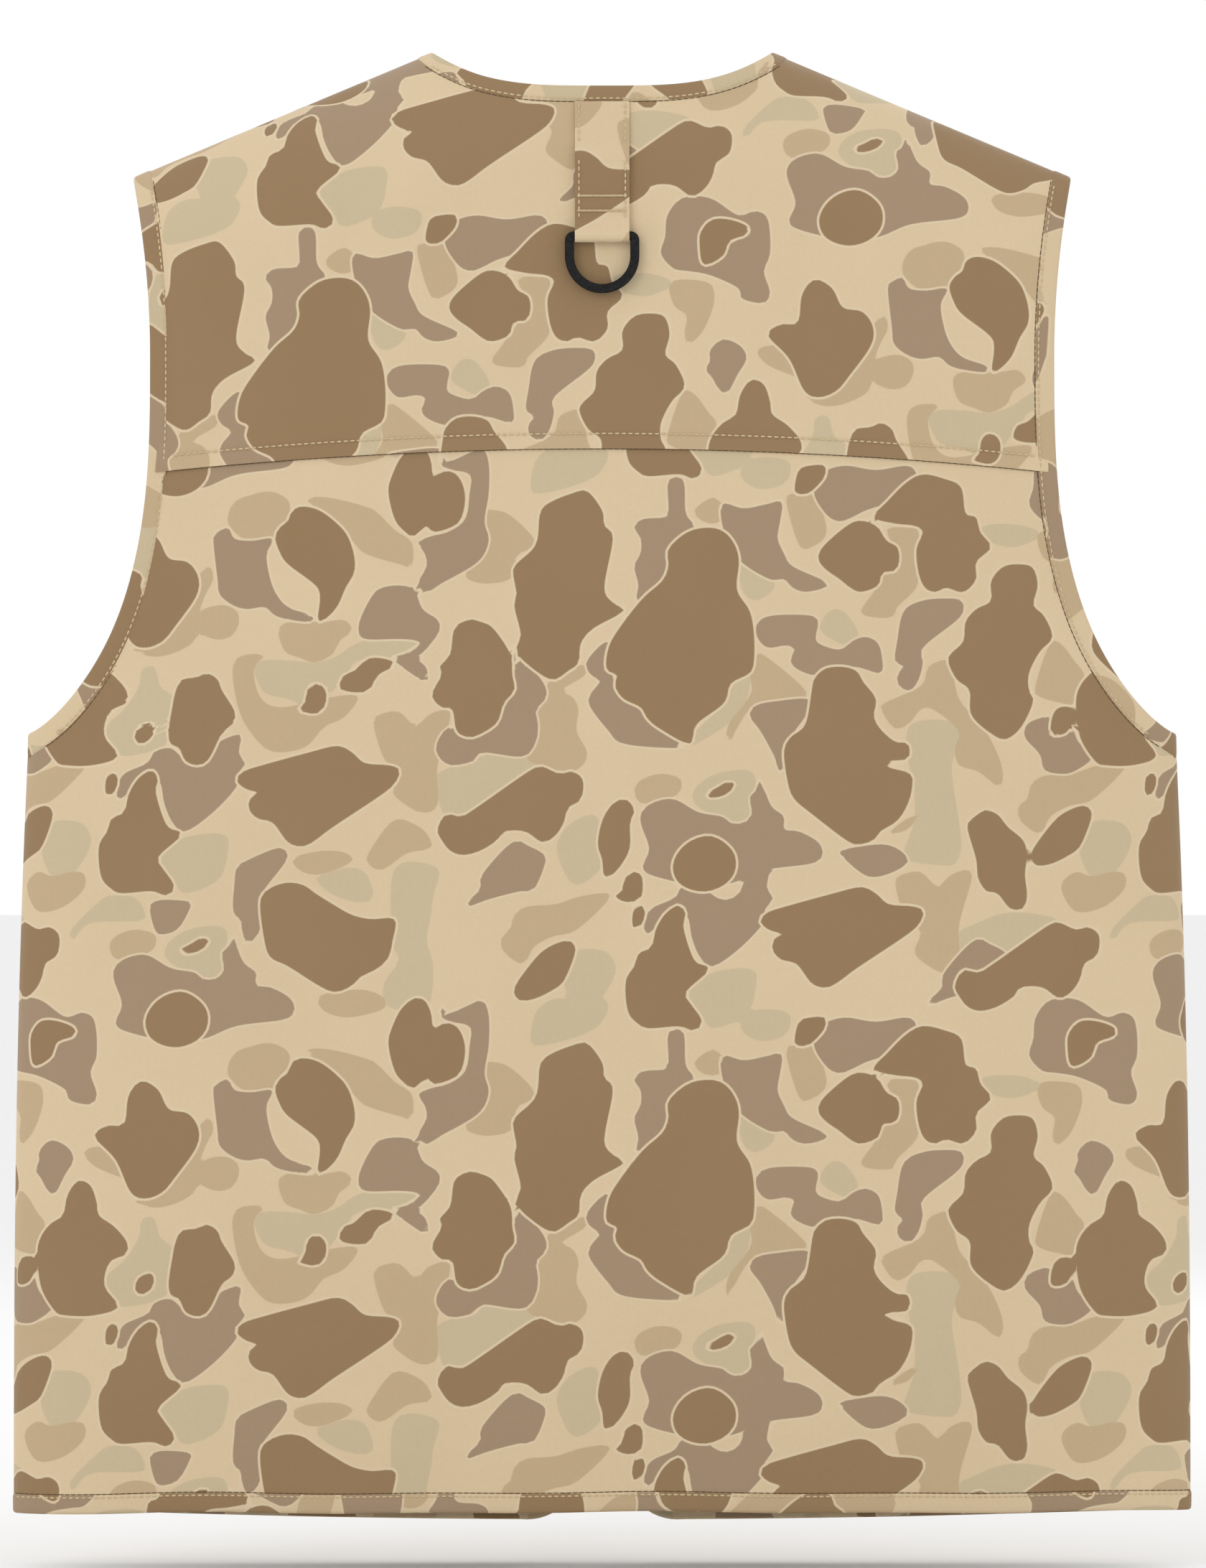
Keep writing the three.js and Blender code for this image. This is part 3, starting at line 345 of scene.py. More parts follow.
def depth_squared(x, z):
    across = np.clip(1 - (x / side_half(z)) ** 2, 0, 1)
    rise = np.clip(1 - (ridge(x) - z) / SHOULDER_ROUND, 0, 1)
    return BODY_DEPTH ** 2 * across * (1 - rise ** 2)


def bump(value, centre, width):
    return np.exp(-((value - centre) / width) ** 2)


# Soft folds of the yoke: where each crosses the middle of the yoke, its lean, width and height.
YOKE_FOLDS = [(-176, 0.14, 9, -1.2), (-150, 0.10, 9, 1.5), (-118, 0.06, 8, -1.3), (-92, 0.02, 10, 1.5),
              (-60, -0.03, 9, -1.0), (98, -0.04, 11, -0.9), (132, -0.10, 12, 1.0)]


YOKE_FOLD_HEIGHT, YOKE_FOLD_REACH = 610, 75


def drape(x, z, face):
    """How far the cloth stands off the smooth body, in soft folds."""
    calm = np.clip(1 - (np.abs(x) / side_half(z)) ** 6, 0, 1) * np.clip(np.abs(x) / 40 - 0.5, 0, 1)
    below = np.clip((ridge(x) - z) / 60, 0, 1)
    if face == FRONT:
        waves = 0.8 * np.sin(x / 31 + z / 160) + 0.5 * np.sin(z / 47 - x / 60)
        return waves * calm * below
    folds = 0
    for centre, lean, width, height in YOKE_FOLDS:
        folds = folds + height * bump(x + lean * (z - 600), centre, width)
    folds = 1.5 * folds * bump(z, YOKE_FOLD_HEIGHT, YOKE_FOLD_REACH)
    waves = 0.7 * np.sin(x / 26 + 0.8 + z / 210) * (0.35 + 0.65 * bump(z, 0, 190))
    drag = 0.8 * np.sin((np.abs(x) * 0.8 - z) / 17) * bump(np.abs(x), 215, 45) * bump(z, 395, 50)
    return (folds + waves + drag) * calm * below


def metres(points):
    points = np.array(points, float)
    points[..., 2] -= NECK_HEIGHT
    return points * MM


def place(x, z, face, lift):
    """Points of the body in metres, lifted off it along its normal."""
    x, z, lift = np.broadcast_arrays(*(np.asarray(a, float) for a in (x, z, lift)))
    x = np.clip(x, -side_half(z), side_half(z))
    z = np.minimum(z, ridge(x))
    step = 0.01
    y = face * np.sqrt(depth_squared(x, z))
    along_x = (depth_squared(x + step, z) - depth_squared(x - step, z)) / (2 * step)
    along_z = (depth_squared(x, z + step) - depth_squared(x, z - step)) / (2 * step)
    normal = np.stack([-along_x, 2 * y, -along_z], -1)
    length = np.linalg.norm(normal, axis=-1, keepdims=True)
    sideways = np.stack([np.sign(x), np.zeros_like(x), np.zeros_like(x)], -1)
    normal = np.where(length < 1e-6, sideways, normal / np.maximum(length, 1e-9))
    points = np.stack([x, y, z], -1) + normal * (lift + drape(x, z, face))[..., None]
    return metres(points)


def past(share, half, depth, start):
    """Extra length of a quarter ellipse beyond its flat width, from start to share."""
    turns = np.linspace(math.asin(start), math.pi / 2, 60)
    speed = np.hypot(half * np.cos(turns), depth * np.sin(turns))
    length = np.concatenate([[0], np.cumsum((speed[1:] + speed[:-1]) / 2 * np.diff(turns))])
    flat = half * (np.sin(turns) - start)
    return np.interp(np.arcsin(np.clip(share, start, 1)), turns, length - flat)


def print_place(x, z):
    """Where a point of the body lies on the flat cloth, measured from the vest's middle and hem."""
    across = x + np.sign(x) * past(np.abs(x) / side_half(z), HEM_HALF, BODY_DEPTH, 0.92)
    rise = np.clip(1 - (ridge(x) - z) / SHOULDER_ROUND, 0, 1)
    return across, z - PRINT_FOOT + past(rise, SHOULDER_ROUND, BODY_DEPTH, 0.6)


# Where each piece is cut from the print: how far the print is shifted across and up.
CUT_FROM = dict(back=(0, 0), yoke=(172.5, -375), front_right=(210, 30), front_left=(60, 95),
                armhole_right=(300, 100), armhole_left=(40, 100), back_neck=(118, 60),
                front_neck_right=(250, 180), front_neck_left=(20, 180), back_hem=(165, 206),
                front_hem_right=(330, 24), front_hem_left=(90, 24), tab=(-114, 277),
                pocket_right=(120, 60), pocket_left=(30, 200))
FLAP_CUT_HEIGHT = dict(right=210, left=330)

# ------------------------------------------------------------------ outlines

def armhole_edge(z):
    """x of the armhole's edge at a height, or the side seam's below the armhole."""
    low = np.clip((ARMHOLE_NARROW - z) / (ARMHOLE_NARROW - UNDERARM), 0, 1)
    out = 1 - (1 - low ** ARMHOLE_UP) ** (1 / ARMHOLE_ACROSS)
    high = np.clip((z - ARMHOLE_NARROW) / (NECK_HEIGHT - SHOULDER_DROP - ARMHOLE_NARROW), 0, 1.2)
    above = ARMHOLE_HALF + (CHEST_HALF - ARMHOLE_HALF) * out + (SHOULDER_HALF - ARMHOLE_HALF) * high ** 2
    return np.where(z <= UNDERARM, side_half(z), above)


def armhole_path():
    """Edge of the right armhole from the side seam up to the shoulder tip."""
    turn = np.linspace(0, math.pi / 2, 66)
    inward, below = np.sin(turn) ** (2 / ARMHOLE_ACROSS), np.clip(np.cos(turn), 0, 1) ** (2 / ARMHOLE_UP)
    x = CHEST_HALF - (CHEST_HALF - ARMHOLE_HALF) * inward
    z = ARMHOLE_NARROW - (ARMHOLE_NARROW - UNDERARM) * below
    up = np.sin(np.linspace(0, math.pi / 2, 40)[1:])
    x = np.concatenate([x, ARMHOLE_HALF + (SHOULDER_HALF - ARMHOLE_HALF) * up ** 2])
    z = np.concatenate([z, ARMHOLE_NARROW + (NECK_HEIGHT - SHOULDER_DROP - ARMHOLE_NARROW) * up])
    return np.stack([x, z], 1)


def back_neck(x):
    out = np.clip(np.abs(x) / NECK_HALF, 0, 1)
    return NECK_HEIGHT - BACK_NECK_DROP * (1 - out ** BACK_NECK_POWER)


def back_neck_path():
    x = NECK_HALF * np.sin(np.linspace(math.pi / 2, -math.pi / 2, 91))
    return np.stack([x, back_neck(x)], 1)


def front_neck_path(steps=70, start=0.0, end=1.0):
    """Front neckline on the right, from the front edge up to the neck point."""
    low = np.array([FRONT_EDGE, NECK_HEIGHT - FRONT_NECK_DROP])
    pull = np.array([NECK_HALF - NECK_PULL_IN, low[1] + FRONT_NECK_DROP * NECK_PULL_UP])
    high = np.array([NECK_HALF, NECK_HEIGHT])
    t = (start + (end - start) * np.sin(np.linspace(0, math.pi / 2, steps + 1)))[:, None]
    return (1 - t) ** 2 * low + 2 * t * (1 - t) * pull + t ** 2 * high


def front_hem(x):
    return HEM_DROP * (x / HEM_HALF) ** 2


def front_hem_path():
    """Front hem on the right, from the front edge round its corner and out to the side."""
    turn = np.linspace(math.pi, 1.5 * math.pi, 14)
    x = FRONT_EDGE + HEM_CORNER * (1 + np.cos(turn))
    z = HEM_CORNER * (1 + np.sin(turn))
    out = np.linspace(FRONT_EDGE + HEM_CORNER, HEM_HALF, 90)[1:]
    start = np.array([[FRONT_EDGE, 3 * HEM_CORNER], [FRONT_EDGE, 2 * HEM_CORNER]])
    return np.concatenate([start, np.stack([x, z], 1), np.stack([out, front_hem(out)], 1)])


def yoke_seam(x):
    return YOKE_SEAM - YOKE_SEAM_DROP * (x / ARMHOLE_HALF) ** 2


FOLD_TOP = front_neck_path(1, FOLD_SHARE, FOLD_SHARE)[0]
FOLD_BOTTOM = np.array([FOLD_HEM, front_hem(FOLD_HEM)])

STITCH_RADIUS = 0.42 * MM
STITCH_IN = 1.4  # from a binding's inner edge to its stitches
STITCH_LIFT = 0.62  # how far the stitches of a binding stand off the body

# ------------------------------------------------------------------ mesh making

def build(name, points, faces, inner=(), print_uv=None, offset=(0, 0), sharp=50):
    """A smooth mesh object. Faces listed in inner take the second material, and print_uv gives
    each point's place on the flat cloth, from which its distances to the motifs are read."""
    mesh = bpy.data.meshes.new(name)
    mesh.from_pydata([tuple(p) for p in np.asarray(points).reshape(-1, 3)], [], faces)
    mesh.polygons.foreach_set("use_smooth", np.ones(len(faces), bool))
    if len(inner):
        index = np.zeros(len(faces), np.int32)
        index[np.asarray(inner)] = 1
        mesh.polygons.foreach_set("material_index", index)
    if print_uv is not None:
        u, v = print_uv[..., 0].ravel() + offset[0], print_uv[..., 1].ravel() + offset[1]
        for layer, tile in TILES.items():
            attribute = mesh.attributes.new(layer, "FLOAT", "POINT")
            attribute.data.foreach_set("value", print_at(tile, u, v).astype(np.float32))
    mesh.validate()
    mesh.update()
    mesh.set_sharp_from_angle(angle=math.radians(sharp))
    piece = bpy.data.objects.new(name, mesh)
    bpy.context.scene.collection.objects.link(piece)
    return piece


def grid_faces(rows, columns, first=0, flip=False):
    faces = []
    for j in range(rows - 1):
        for i in range(columns - 1):
            a = first + j * columns + i
            quad = (a, a + 1, a + columns + 1, a + columns)
            faces.append(quad[::-1] if flip else quad)
    return faces


def shell(name, outer, inner, uv, offset, flip, mirror=False):
    """A closed sheet between two grids of points, with a rim round it."""
    if mirror:
        outer, inner = outer * [-1, 1, 1], inner * [-1, 1, 1]
        flip = not flip
    rows, columns = outer.shape[:2]
    count = rows * columns
    faces = grid_faces(rows, columns, 0, flip)
    below = grid_faces(rows, columns, count, not flip)
    rim = list(range(columns)) + [j * columns + columns - 1 for j in range(1, rows)]
    rim += [(rows - 1) * columns + i for i in range(columns - 2, -1, -1)]
    rim += [j * columns for j in range(rows - 2, 0, -1)]
    edges = [(a, a + count, b + count, b) for a, b in zip(rim, rim[1:] + rim[:1])]
    if flip:
        edges = [e[::-1] for e in edges]
    inside = range(len(faces), len(faces) + len(below))
    points = np.concatenate([outer.reshape(-1, 3), inner.reshape(-1, 3)])
    both = np.concatenate([uv.reshape(-1, 2), uv.reshape(-1, 2)])
    return build(name, points, faces + below + edges, inside, both, offset)


def panel(name, x, z, face, lift, offset, mirror=False, thickness=CLOTH):
    """Cloth lying on the body, over grids of x and z."""
    outer = place(x, z, face, lift)
    inner = place(x, z, face, lift - thickness)
    uv = np.stack(print_place(x, z), -1)
    return shell(name, outer, inner, uv, offset, face == FRONT, mirror)


def normals_of(path, side=1):
    """Unit vectors square to a path of x and z, to the left of its direction for side 1."""
    along = np.gradient(path, axis=0)
    along /= np.linalg.norm(along, axis=1, keepdims=True)
    return side * np.stack([-along[:, 1], along[:, 0]], 1)


def band(name, stations, uv_start, width, mirror=False):
    """A folded edge binding: stations is a list of (x, z, inward, face) along the edge."""
    section = [(1.0, -0.25), (0.93, 0.3), (0.8, 0.5), (0.45, 0.45), (0.15, 0.4), (0.04, 0.1),
               (-0.02, -0.7), (0.04, -1.5), (0.15, -1.8), (0.45, -1.9), (0.93, -1.8), (1.0, -1.2)]
    points, uv = [], []
    travelled, last = 0, None
    for x, z, inward, face in stations:
        ring = [place(x + inward[0] * width * d, z + inward[1] * width * d, face, lift)
                for d, lift in section]
        here = np.array(ring[3])
        travelled += 0 if last is None else np.linalg.norm(here - last) / MM
        last = here
        points.append(ring)
        uv.append([(travelled, d * width if k < 7 else 2 * width - d * width)
                   for k, (d, _) in enumerate(section)])
    points, uv = np.array(points), np.array(uv)
    if mirror:
        points = points * [-1, 1, 1]
    rows, columns = points.shape[:2]
    faces = []
    for j in range(rows - 1):
        for i in range(columns):
            a, b = j * columns + i, j * columns + (i + 1) % columns
            faces.append((a, b, b + columns, a + columns))
    faces += [tuple(range(columns))[::-1], tuple((rows - 1) * columns + i for i in range(columns))]
    piece = build(name, points, faces, (), uv, uv_start, sharp=60)
    make_outward(piece)
    return piece


def make_outward(piece):
    """Turns the mesh's faces to point outwards."""
    work = bmesh.new()
    work.from_mesh(piece.data)
    bmesh.ops.recalc_face_normals(work, faces=work.faces)
    work.to_mesh(piece.data)
    work.free()


def capsules(name, ends, radius, flatness=0.75, sides=6):
    """Short rounded rods between pairs of points, joined in one mesh, such as a run of stitches."""
    points, faces = [], []
    profile = [(0.0, 0.0), (0.12, 0.75), (0.5, 1.0), (0.88, 0.75), (1.0, 0.0)]
    for start, end, up in ends:
        start, end, up = np.array(start), np.array(end), np.array(up)
        along = end - start
        side = np.cross(along, up)
        side /= max(np.linalg.norm(side), 1e-12)
        over = np.cross(side, along)
        over /= max(np.linalg.norm(over), 1e-12)
        base = len(points)
        points.append(start)
        for share, fat in profile[1:-1]:
            for k in range(sides):
                turn = 2 * math.pi * k / sides
                reach = side * math.cos(turn) + over * math.sin(turn) * flatness
                points.append(start + along * share + reach * radius * fat)
        points.append(end)
        for k in range(sides):
            n = (k + 1) % sides
            faces.append((base, base + 1 + n, base + 1 + k))
            for ring in range(2):
                a = base + 1 + ring * sides
                faces.append((a + k, a + n, a + sides + n, a + sides + k))
            a = base + 1 + 2 * sides
            faces.append((a + k, a + n, base + 1 + 3 * sides))
    piece = build(name, points, faces)
    make_outward(piece)
    return piece


def dashes(path, face, lift=0.55, pitch=3.1, length=2.3, mirror=False):
    """Stitches along a path of x and z on the body: (start, end, outward) for each."""
    path = np.array(path, float)
    line = place(path[:, 0], path[:, 1], face, lift)
    above = place(path[:, 0], path[:, 1], face, lift + 1)
    run = np.concatenate([[0], np.cumsum(np.linalg.norm(np.diff(line, axis=0), axis=1))]) / MM
    starts = np.arange(min(0.6, (run[-1] - length) / 2), run[-1] - length, pitch)
    at = lambda data, s: np.stack([np.interp(s, run, data[:, k]) for k in range(3)], 1)
    flip = np.array([-1, 1, 1]) if mirror else np.ones(3)
    first, last, up = at(line, starts), at(line, starts + length), at(above - line, starts)
    return list(zip(first * flip, last * flip, up * flip))

# ------------------------------------------------------------------ materials

EXPOSURE = 0.9  # colours are given as the studio's light shows them, which is a little over full


def linear(red, green, blue):
    """An sRGB colour of 0 to 255 as the linear colour a shader takes."""
    def one(c):
        c /= 255
        return c / 12.92 if c <= 0.04045 else ((c + 0.055) / 1.055) ** 2.4
    return (one(red) * EXPOSURE, one(green) * EXPOSURE, one(blue) * EXPOSURE, 1)


GROUND = linear(224, 201, 164)
OUTLINE = linear(228, 208, 174)
INK = dict(sage=linear(206, 189, 154), tan=linear(199, 174, 137),
           mauve=linear(164, 139, 112), brown=linear(148, 119, 82))
OUTLINE_WIDTH = dict(mauve=0.95, brown=1.1)
SOFT_EDGE = 0.22


class Nodes:
    """A new material with short calls to add and join its nodes."""

    def __init__(self, name, roughness, metallic=0.0, sheen=0.0):
        self.material = bpy.data.materials.new(name)
        self.material.use_nodes = True
        self.tree = self.material.node_tree
        self.shader = self.tree.nodes["Principled BSDF"]
        self.shader.inputs["Roughness"].default_value = roughness
        self.shader.inputs["Metallic"].default_value = metallic
        self.shader.inputs["Sheen Weight"].default_value = sheen
        self.shader.inputs["Sheen Roughness"].default_value = 0.5

    def add(self, kind, **settings):
        node = self.tree.nodes.new("ShaderNode" + kind)
        for key, value in settings.items():
            setattr(node, key, value)
        return node

    def join(self, source, target):
        self.tree.links.new(source, target)

    def noise(self, scale, detail=2, stretch=None):
        node = self.add("TexNoise")
        node.inputs["Scale"].default_value = scale
        node.inputs["Detail"].default_value = detail
        where = self.add("TexCoord").outputs["Object"]
        if stretch:
            mapping = self.add("Mapping")
            mapping.inputs["Scale"].default_value = stretch
            self.join(where, mapping.inputs["Vector"])
            where = mapping.outputs["Vector"]
        self.join(where, node.inputs["Vector"])
        return node.outputs["Fac"]

    def mix(self, factor, first, second):
        node = self.add("Mix", data_type="RGBA")
        sockets = (node.inputs["Factor"], node.inputs[6], node.inputs[7])
        for socket, value in zip(sockets, (factor, first, second)):
            if isinstance(value, bpy.types.NodeSocket):
                self.join(value, socket)
            else:
                socket.default_value = value
        return node.outputs[2]

    def span(self, value, low, high, to_low=0.0, to_high=1.0):
        node = self.add("MapRange")
        for key, number in (("From Min", low), ("From Max", high), ("To Min", to_low), ("To Max", to_high)):
            node.inputs[key].default_value = number
        self.join(value, node.inputs["Value"])
        return node.outputs["Result"]

    def bumps(self, *heights):
        """Bump nodes in a row, each from a height and its distance in metres."""
        last = None
        for height, strength, distance in heights:
            node = self.add("Bump")
            node.inputs["Strength"].default_value = strength
            node.inputs["Distance"].default_value = distance
            self.join(height, node.inputs["Height"])
            if last:
                self.join(last, node.inputs["Normal"])
            last = node.outputs["Normal"]
        self.join(last, self.shader.inputs["Normal"])


def weave(nodes, pitch=0.00062):
    """Height of a plain weave: two sets of threads that cross."""
    waves = []
    for direction in ("X", "Z"):
        wave = nodes.add("TexWave", wave_type="BANDS", bands_direction=direction)
        wave.inputs["Scale"].default_value = 0.314 / pitch
        wave.inputs["Distortion"].default_value = 0.6
        wave.inputs["Detail"].default_value = 0
        nodes.join(nodes.add("TexCoord").outputs["Object"], wave.inputs["Vector"])
        waves.append(wave.outputs["Fac"])
    highest = nodes.add("Math", operation="MAXIMUM")
    nodes.join(waves[0], highest.inputs[0])
    nodes.join(waves[1], highest.inputs[1])
    return highest.outputs["Value"]


def print_material(name, wrong_side=0.0, painted_shade_factor=1.0):
    """The printed poplin. wrong_side washes the print out, as it shows through from the back, and a shade
    factor below 1 darkens the whole colour towards brown as painted shade.
    """
    nodes = Nodes(name, 0.82, sheen=0.12)
    colour = GROUND
    for layer, _ in LAYERS:
        distance = nodes.add("Attribute", attribute_name=layer).outputs["Fac"]
        width = OUTLINE_WIDTH.get(layer)
        if width:
            around = nodes.span(distance, width - SOFT_EDGE, width + SOFT_EDGE, 1, 0)
            colour = nodes.mix(around, colour, OUTLINE)
        inside = nodes.span(distance, -SOFT_EDGE, SOFT_EDGE, 1, 0)
        colour = nodes.mix(inside, colour, INK[layer])
    if wrong_side:
        colour = nodes.mix(wrong_side, colour, linear(214, 196, 164))
    threads = nodes.span(nodes.noise(2600, 3), 0.3, 0.7, 0.0, 0.13)
    colour = nodes.mix(threads, colour, linear(150, 126, 92))
    wash = nodes.span(nodes.noise(9, 4), 0.35, 0.7, 0.0, 0.08)
    colour = nodes.mix(wash, colour, linear(176, 152, 116))
    # painted shade: the whole colour is darkened towards brown
    if painted_shade_factor < 1:
        colour = nodes.mix(1 - painted_shade_factor, colour, linear(120, 96, 64))
    nodes.join(colour, nodes.shader.inputs["Base Color"])
    creases = nodes.noise(38, 3, (1.3, 1.0, 0.45))
    nodes.bumps((creases, 0.35, 0.004), (nodes.noise(210, 3), 0.2, 0.0012), (weave(nodes), 0.28, 0.00022))
    return nodes.material


def simple_material(name, colour, second, scale, roughness, metallic=0.0, grain=0.0003, sheen=0.0,
                    strength=0.3, woven=0, specular=0.5):
    """Two colours mottled together, over a grained or woven surface."""
    nodes = Nodes(name, roughness, metallic, sheen)
    nodes.shader.inputs["Specular IOR Level"].default_value = specular
    mottle = nodes.span(nodes.noise(scale, 4), 0.35, 0.65)
    nodes.join(nodes.mix(mottle, linear(*colour), linear(*second)), nodes.shader.inputs["Base Color"])
    height = weave(nodes, woven) if woven else nodes.noise(scale * 3, 3)
    nodes.bumps((height, strength, grain))
    if not metallic:
        wear = nodes.span(nodes.noise(scale * 1.7, 2), 0.3, 0.7, roughness - 0.06, roughness + 0.08)
        nodes.join(wear, nodes.shader.inputs["Roughness"])
    return nodes.material


PRINT = print_material("printed_poplin")
# the bindings' copy of the poplin, made a little darker as painted shade
PRINT_BINDING = print_material("printed_binding", painted_shade_factor=0.97)
WRONG_SIDE = print_material("poplin_wrong_side", wrong_side=0.72)
THREAD = simple_material("sewing_thread", (214, 192, 152), (198, 174, 132), 900, 0.6, grain=0.0001, sheen=0.2)
# dark painted shadow for the thin lines along the seams
PAINTED_SEAM_SHADOW = simple_material("seam_shadow", (104, 82, 54), (88, 68, 44), 700, 0.9, grain=0.0001)
TAPE = simple_material("woven_tape", (176, 152, 112), (158, 134, 96), 700, 0.85, sheen=0.15,
                       strength=0.6, woven=0.0011)
COIL = simple_material("nylon_coil", (140, 118, 80), (124, 103, 68), 400, 0.42, grain=0.0001)
BLACK = simple_material("black_plastic", (40, 40, 41), (6, 6, 7), 1300, 0.55, grain=0.0006, strength=1.0,
                        specular=0.22)
BLACK_SMOOTH = simple_material("black_plastic_rim", (8, 8, 9), (4, 4, 5), 160, 0.4, grain=0.00005,
                               specular=0.2)
BRASS = simple_material("dark_brass", (124, 104, 72), (92, 76, 52), 240, 0.34, metallic=1.0,
                        grain=0.0001, strength=0.2)


def finish_piece(piece, body, slot, *materials, replaces=()):
    """Gives a piece its materials and body, and says which CAD nodes it replaces. The slot argument is not
    used.
    """
    for material in materials:
        piece.data.materials.append(material)
    if replaces:
        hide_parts(*replaces)
    if body:
        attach(piece, body)
    return piece

def stitched(name, ends, body):
    return finish_piece(capsules(name, ends, STITCH_RADIUS), body, "printed_poplin", THREAD)

# ------------------------------------------------------------------ cloth panels

def crowded(count, reach=0.05):
    """Shares from 0 to 1 that crowd together at 1, where the cloth turns over the shoulder."""
    left = 1 - np.linspace(0, 1, count)
    return 1 - left * (1 - 0.85 * np.exp(-left / reach))


def spread(count, turn=1.0):
    """Shares from 0 to 1 that crowd a little at both ends, where the cloth turns at the sides."""
    return 0.5 + 0.5 * np.sin(np.linspace(-turn, turn, count)) / math.sin(turn)


def fill(bottom, top, left, right, ups, acrosses):
    """Grids of x and z that fill an outline given by four edge functions."""
    up, across = np.meshgrid(ups, acrosses, indexing="ij")
    z = bottom(0 * up) + up * (top(0 * up) - bottom(0 * up))
    for _ in range(12):
        x = left(z) + (right(z) - left(z)) * across
        z = bottom(x) + up * (top(x) - bottom(x))
    return x, z


def back_hem(x):
    uneven = 0.5 * np.sin(x / 38 + 1) + 0.3 * np.sin(x / 17)
    return HEM_DROP + 0.4 + uneven - 2.2 * bump(x, -265, 75) - 0.8 * bump(x, 265, 60)


UNDER_BINDING = 4.0  # how far a panel runs on under its binding
YOKE_LAP = 5.0  # how far the back panel runs up behind the yoke
YOKE_STITCH_RISE = 7  # from the yoke's seam up to its stitches
YOKE_STEP = 0.75  # how far the yoke's turned edge stands off the panel below


def panel_side(z):
    """x of a panel's edge: the side seam, then a line under the armhole's binding."""
    return armhole_edge(z) - UNDER_BINDING * np.clip((z - UNDERARM) / 24, 0, 1)


def yoke_lift(x, z):
    """The yoke stands off at its turned edge and dips a little under its stitches."""
    above = z - yoke_seam(x)
    return YOKE_STEP * bump(above, 0, 9) - 0.18 * bump(above, YOKE_STITCH_RISE, 1.2)


def back_panel():
    x, z = fill(lambda x: back_hem(x) + UNDER_BINDING, lambda x: yoke_seam(x) + YOKE_LAP,
                lambda z: -panel_side(z), panel_side,
                np.linspace(0, 1, 180), spread(196))
    behind = -0.4 * np.clip((z - yoke_seam(x) + 4) / 3, 0, 1)
    piece = panel("back_panel_cloth", x, z, BACK, behind, CUT_FROM["back"])
    return finish_piece(piece, "vest_body", "printed_poplin", PRINT, WRONG_SIDE, replaces=["back_panel"])


def back_yoke():
    def top(x):
        out = np.clip((NECK_HALF - np.abs(x)) / 12, 0, 1)
        return np.where(np.abs(x) < NECK_HALF, back_neck(x) - UNDER_BINDING * out, ridge(x))

    x, z = fill(yoke_seam, top, lambda z: -panel_side(z), panel_side, crowded(84), spread(170))
    piece = panel("back_yoke_cloth", x, z, BACK, yoke_lift(x, z), CUT_FROM["yoke"])
    return finish_piece(piece, "vest_body", "printed_poplin", PRINT, WRONG_SIDE, replaces=["back_yoke"])


NECKLINE = front_neck_path(200)


def front_left_edge(z):
    """x of the front edge and, above it, of the neckline, a little inside its binding."""
    inside = 0.6 + 3.4 * np.clip((z - NECKLINE[0, 1]) / 12, 0, 1)
    return np.interp(z, NECKLINE[:, 1], NECKLINE[:, 0]) + inside


def front_bottom(x):
    corner = np.clip(FRONT_EDGE + HEM_CORNER - x, 0, HEM_CORNER)
    return np.maximum(front_hem(x), HEM_CORNER - np.sqrt(HEM_CORNER ** 2 - corner ** 2)) + UNDER_BINDING


FOLD_BLEND_HALF = 6.0  # points this far on each side of the fold line are worked out, but the cloth is not turned over there


def bend_at_fold(piece, side):
    """Bakes the piece's transform into its mesh. Points beside the fold line are worked out but not used, so
    the piece does not bend.
    """
    along = FOLD_TOP - FOLD_BOTTOM
    out = np.array([along[1], -along[0]]) / np.linalg.norm(along)
    middle = (FOLD_TOP + FOLD_BOTTOM) / 2
    flip = 1 if side == "right" else -1
    for way in (1, -1):
        x, z = middle + way * FOLD_BLEND_HALF * out
        tuple(metres([flip * x, BODY_DEPTH, z]))
    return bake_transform(piece)


def front_panel(side):
    x, z = fill(front_bottom, ridge, front_left_edge, panel_side, crowded(240, 0.02), spread(100, 0.7))
    mirror = side == "left"
    piece = panel("front_cloth_" + side, x, z, FRONT, 0, CUT_FROM["front_" + side], mirror)
    finish_piece(piece, None, "printed_poplin", PRINT, WRONG_SIDE,
                 replaces=["front_side_panel_" + side, "front_edge_panel_" + side])
    return bend_at_fold(piece, side)


# ------------------------------------------------------------------ bindings

RIDGE_OUT = np.array([1, -SLOPE]) / math.hypot(1, SLOPE)


def stations_of(path, inward, face, last_inward=None, last=10, first_inward=None):
    """Band stations along a path, whose inward direction turns to the given one at an end."""
    inward = inward.copy()
    count = len(path)
    for k in range(last):
        share = 1 - k / last
        if last_inward is not None:
            inward[count - 1 - k] = (1 - share) * inward[count - 1 - k] + share * np.array(last_inward)
        if first_inward is not None:
            inward[k] = (1 - share) * inward[k] + share * np.array(first_inward)
    return [(x, z, n, face) for (x, z), n in zip(path, inward)]


def armhole_binding(side):
    """Round the back of the armhole, over the shoulder and down the front."""
    path = armhole_path()
    inward = normals_of(path)
    over = -RIDGE_OUT
    down = (0, -1.3)
    back = stations_of(path, inward, BACK, last_inward=over, first_inward=down)
    front = stations_of(path, inward, FRONT, last_inward=over, first_inward=down)
    mirror = side == "left"
    piece = band("armhole_edge_" + side, back + front[::-1][1:], CUT_FROM["armhole_" + side],
                 BINDING, mirror)
    return finish_piece(piece, "vest_body", "printed_binding", PRINT_BINDING,
                        replaces=["armhole_binding_" + side])


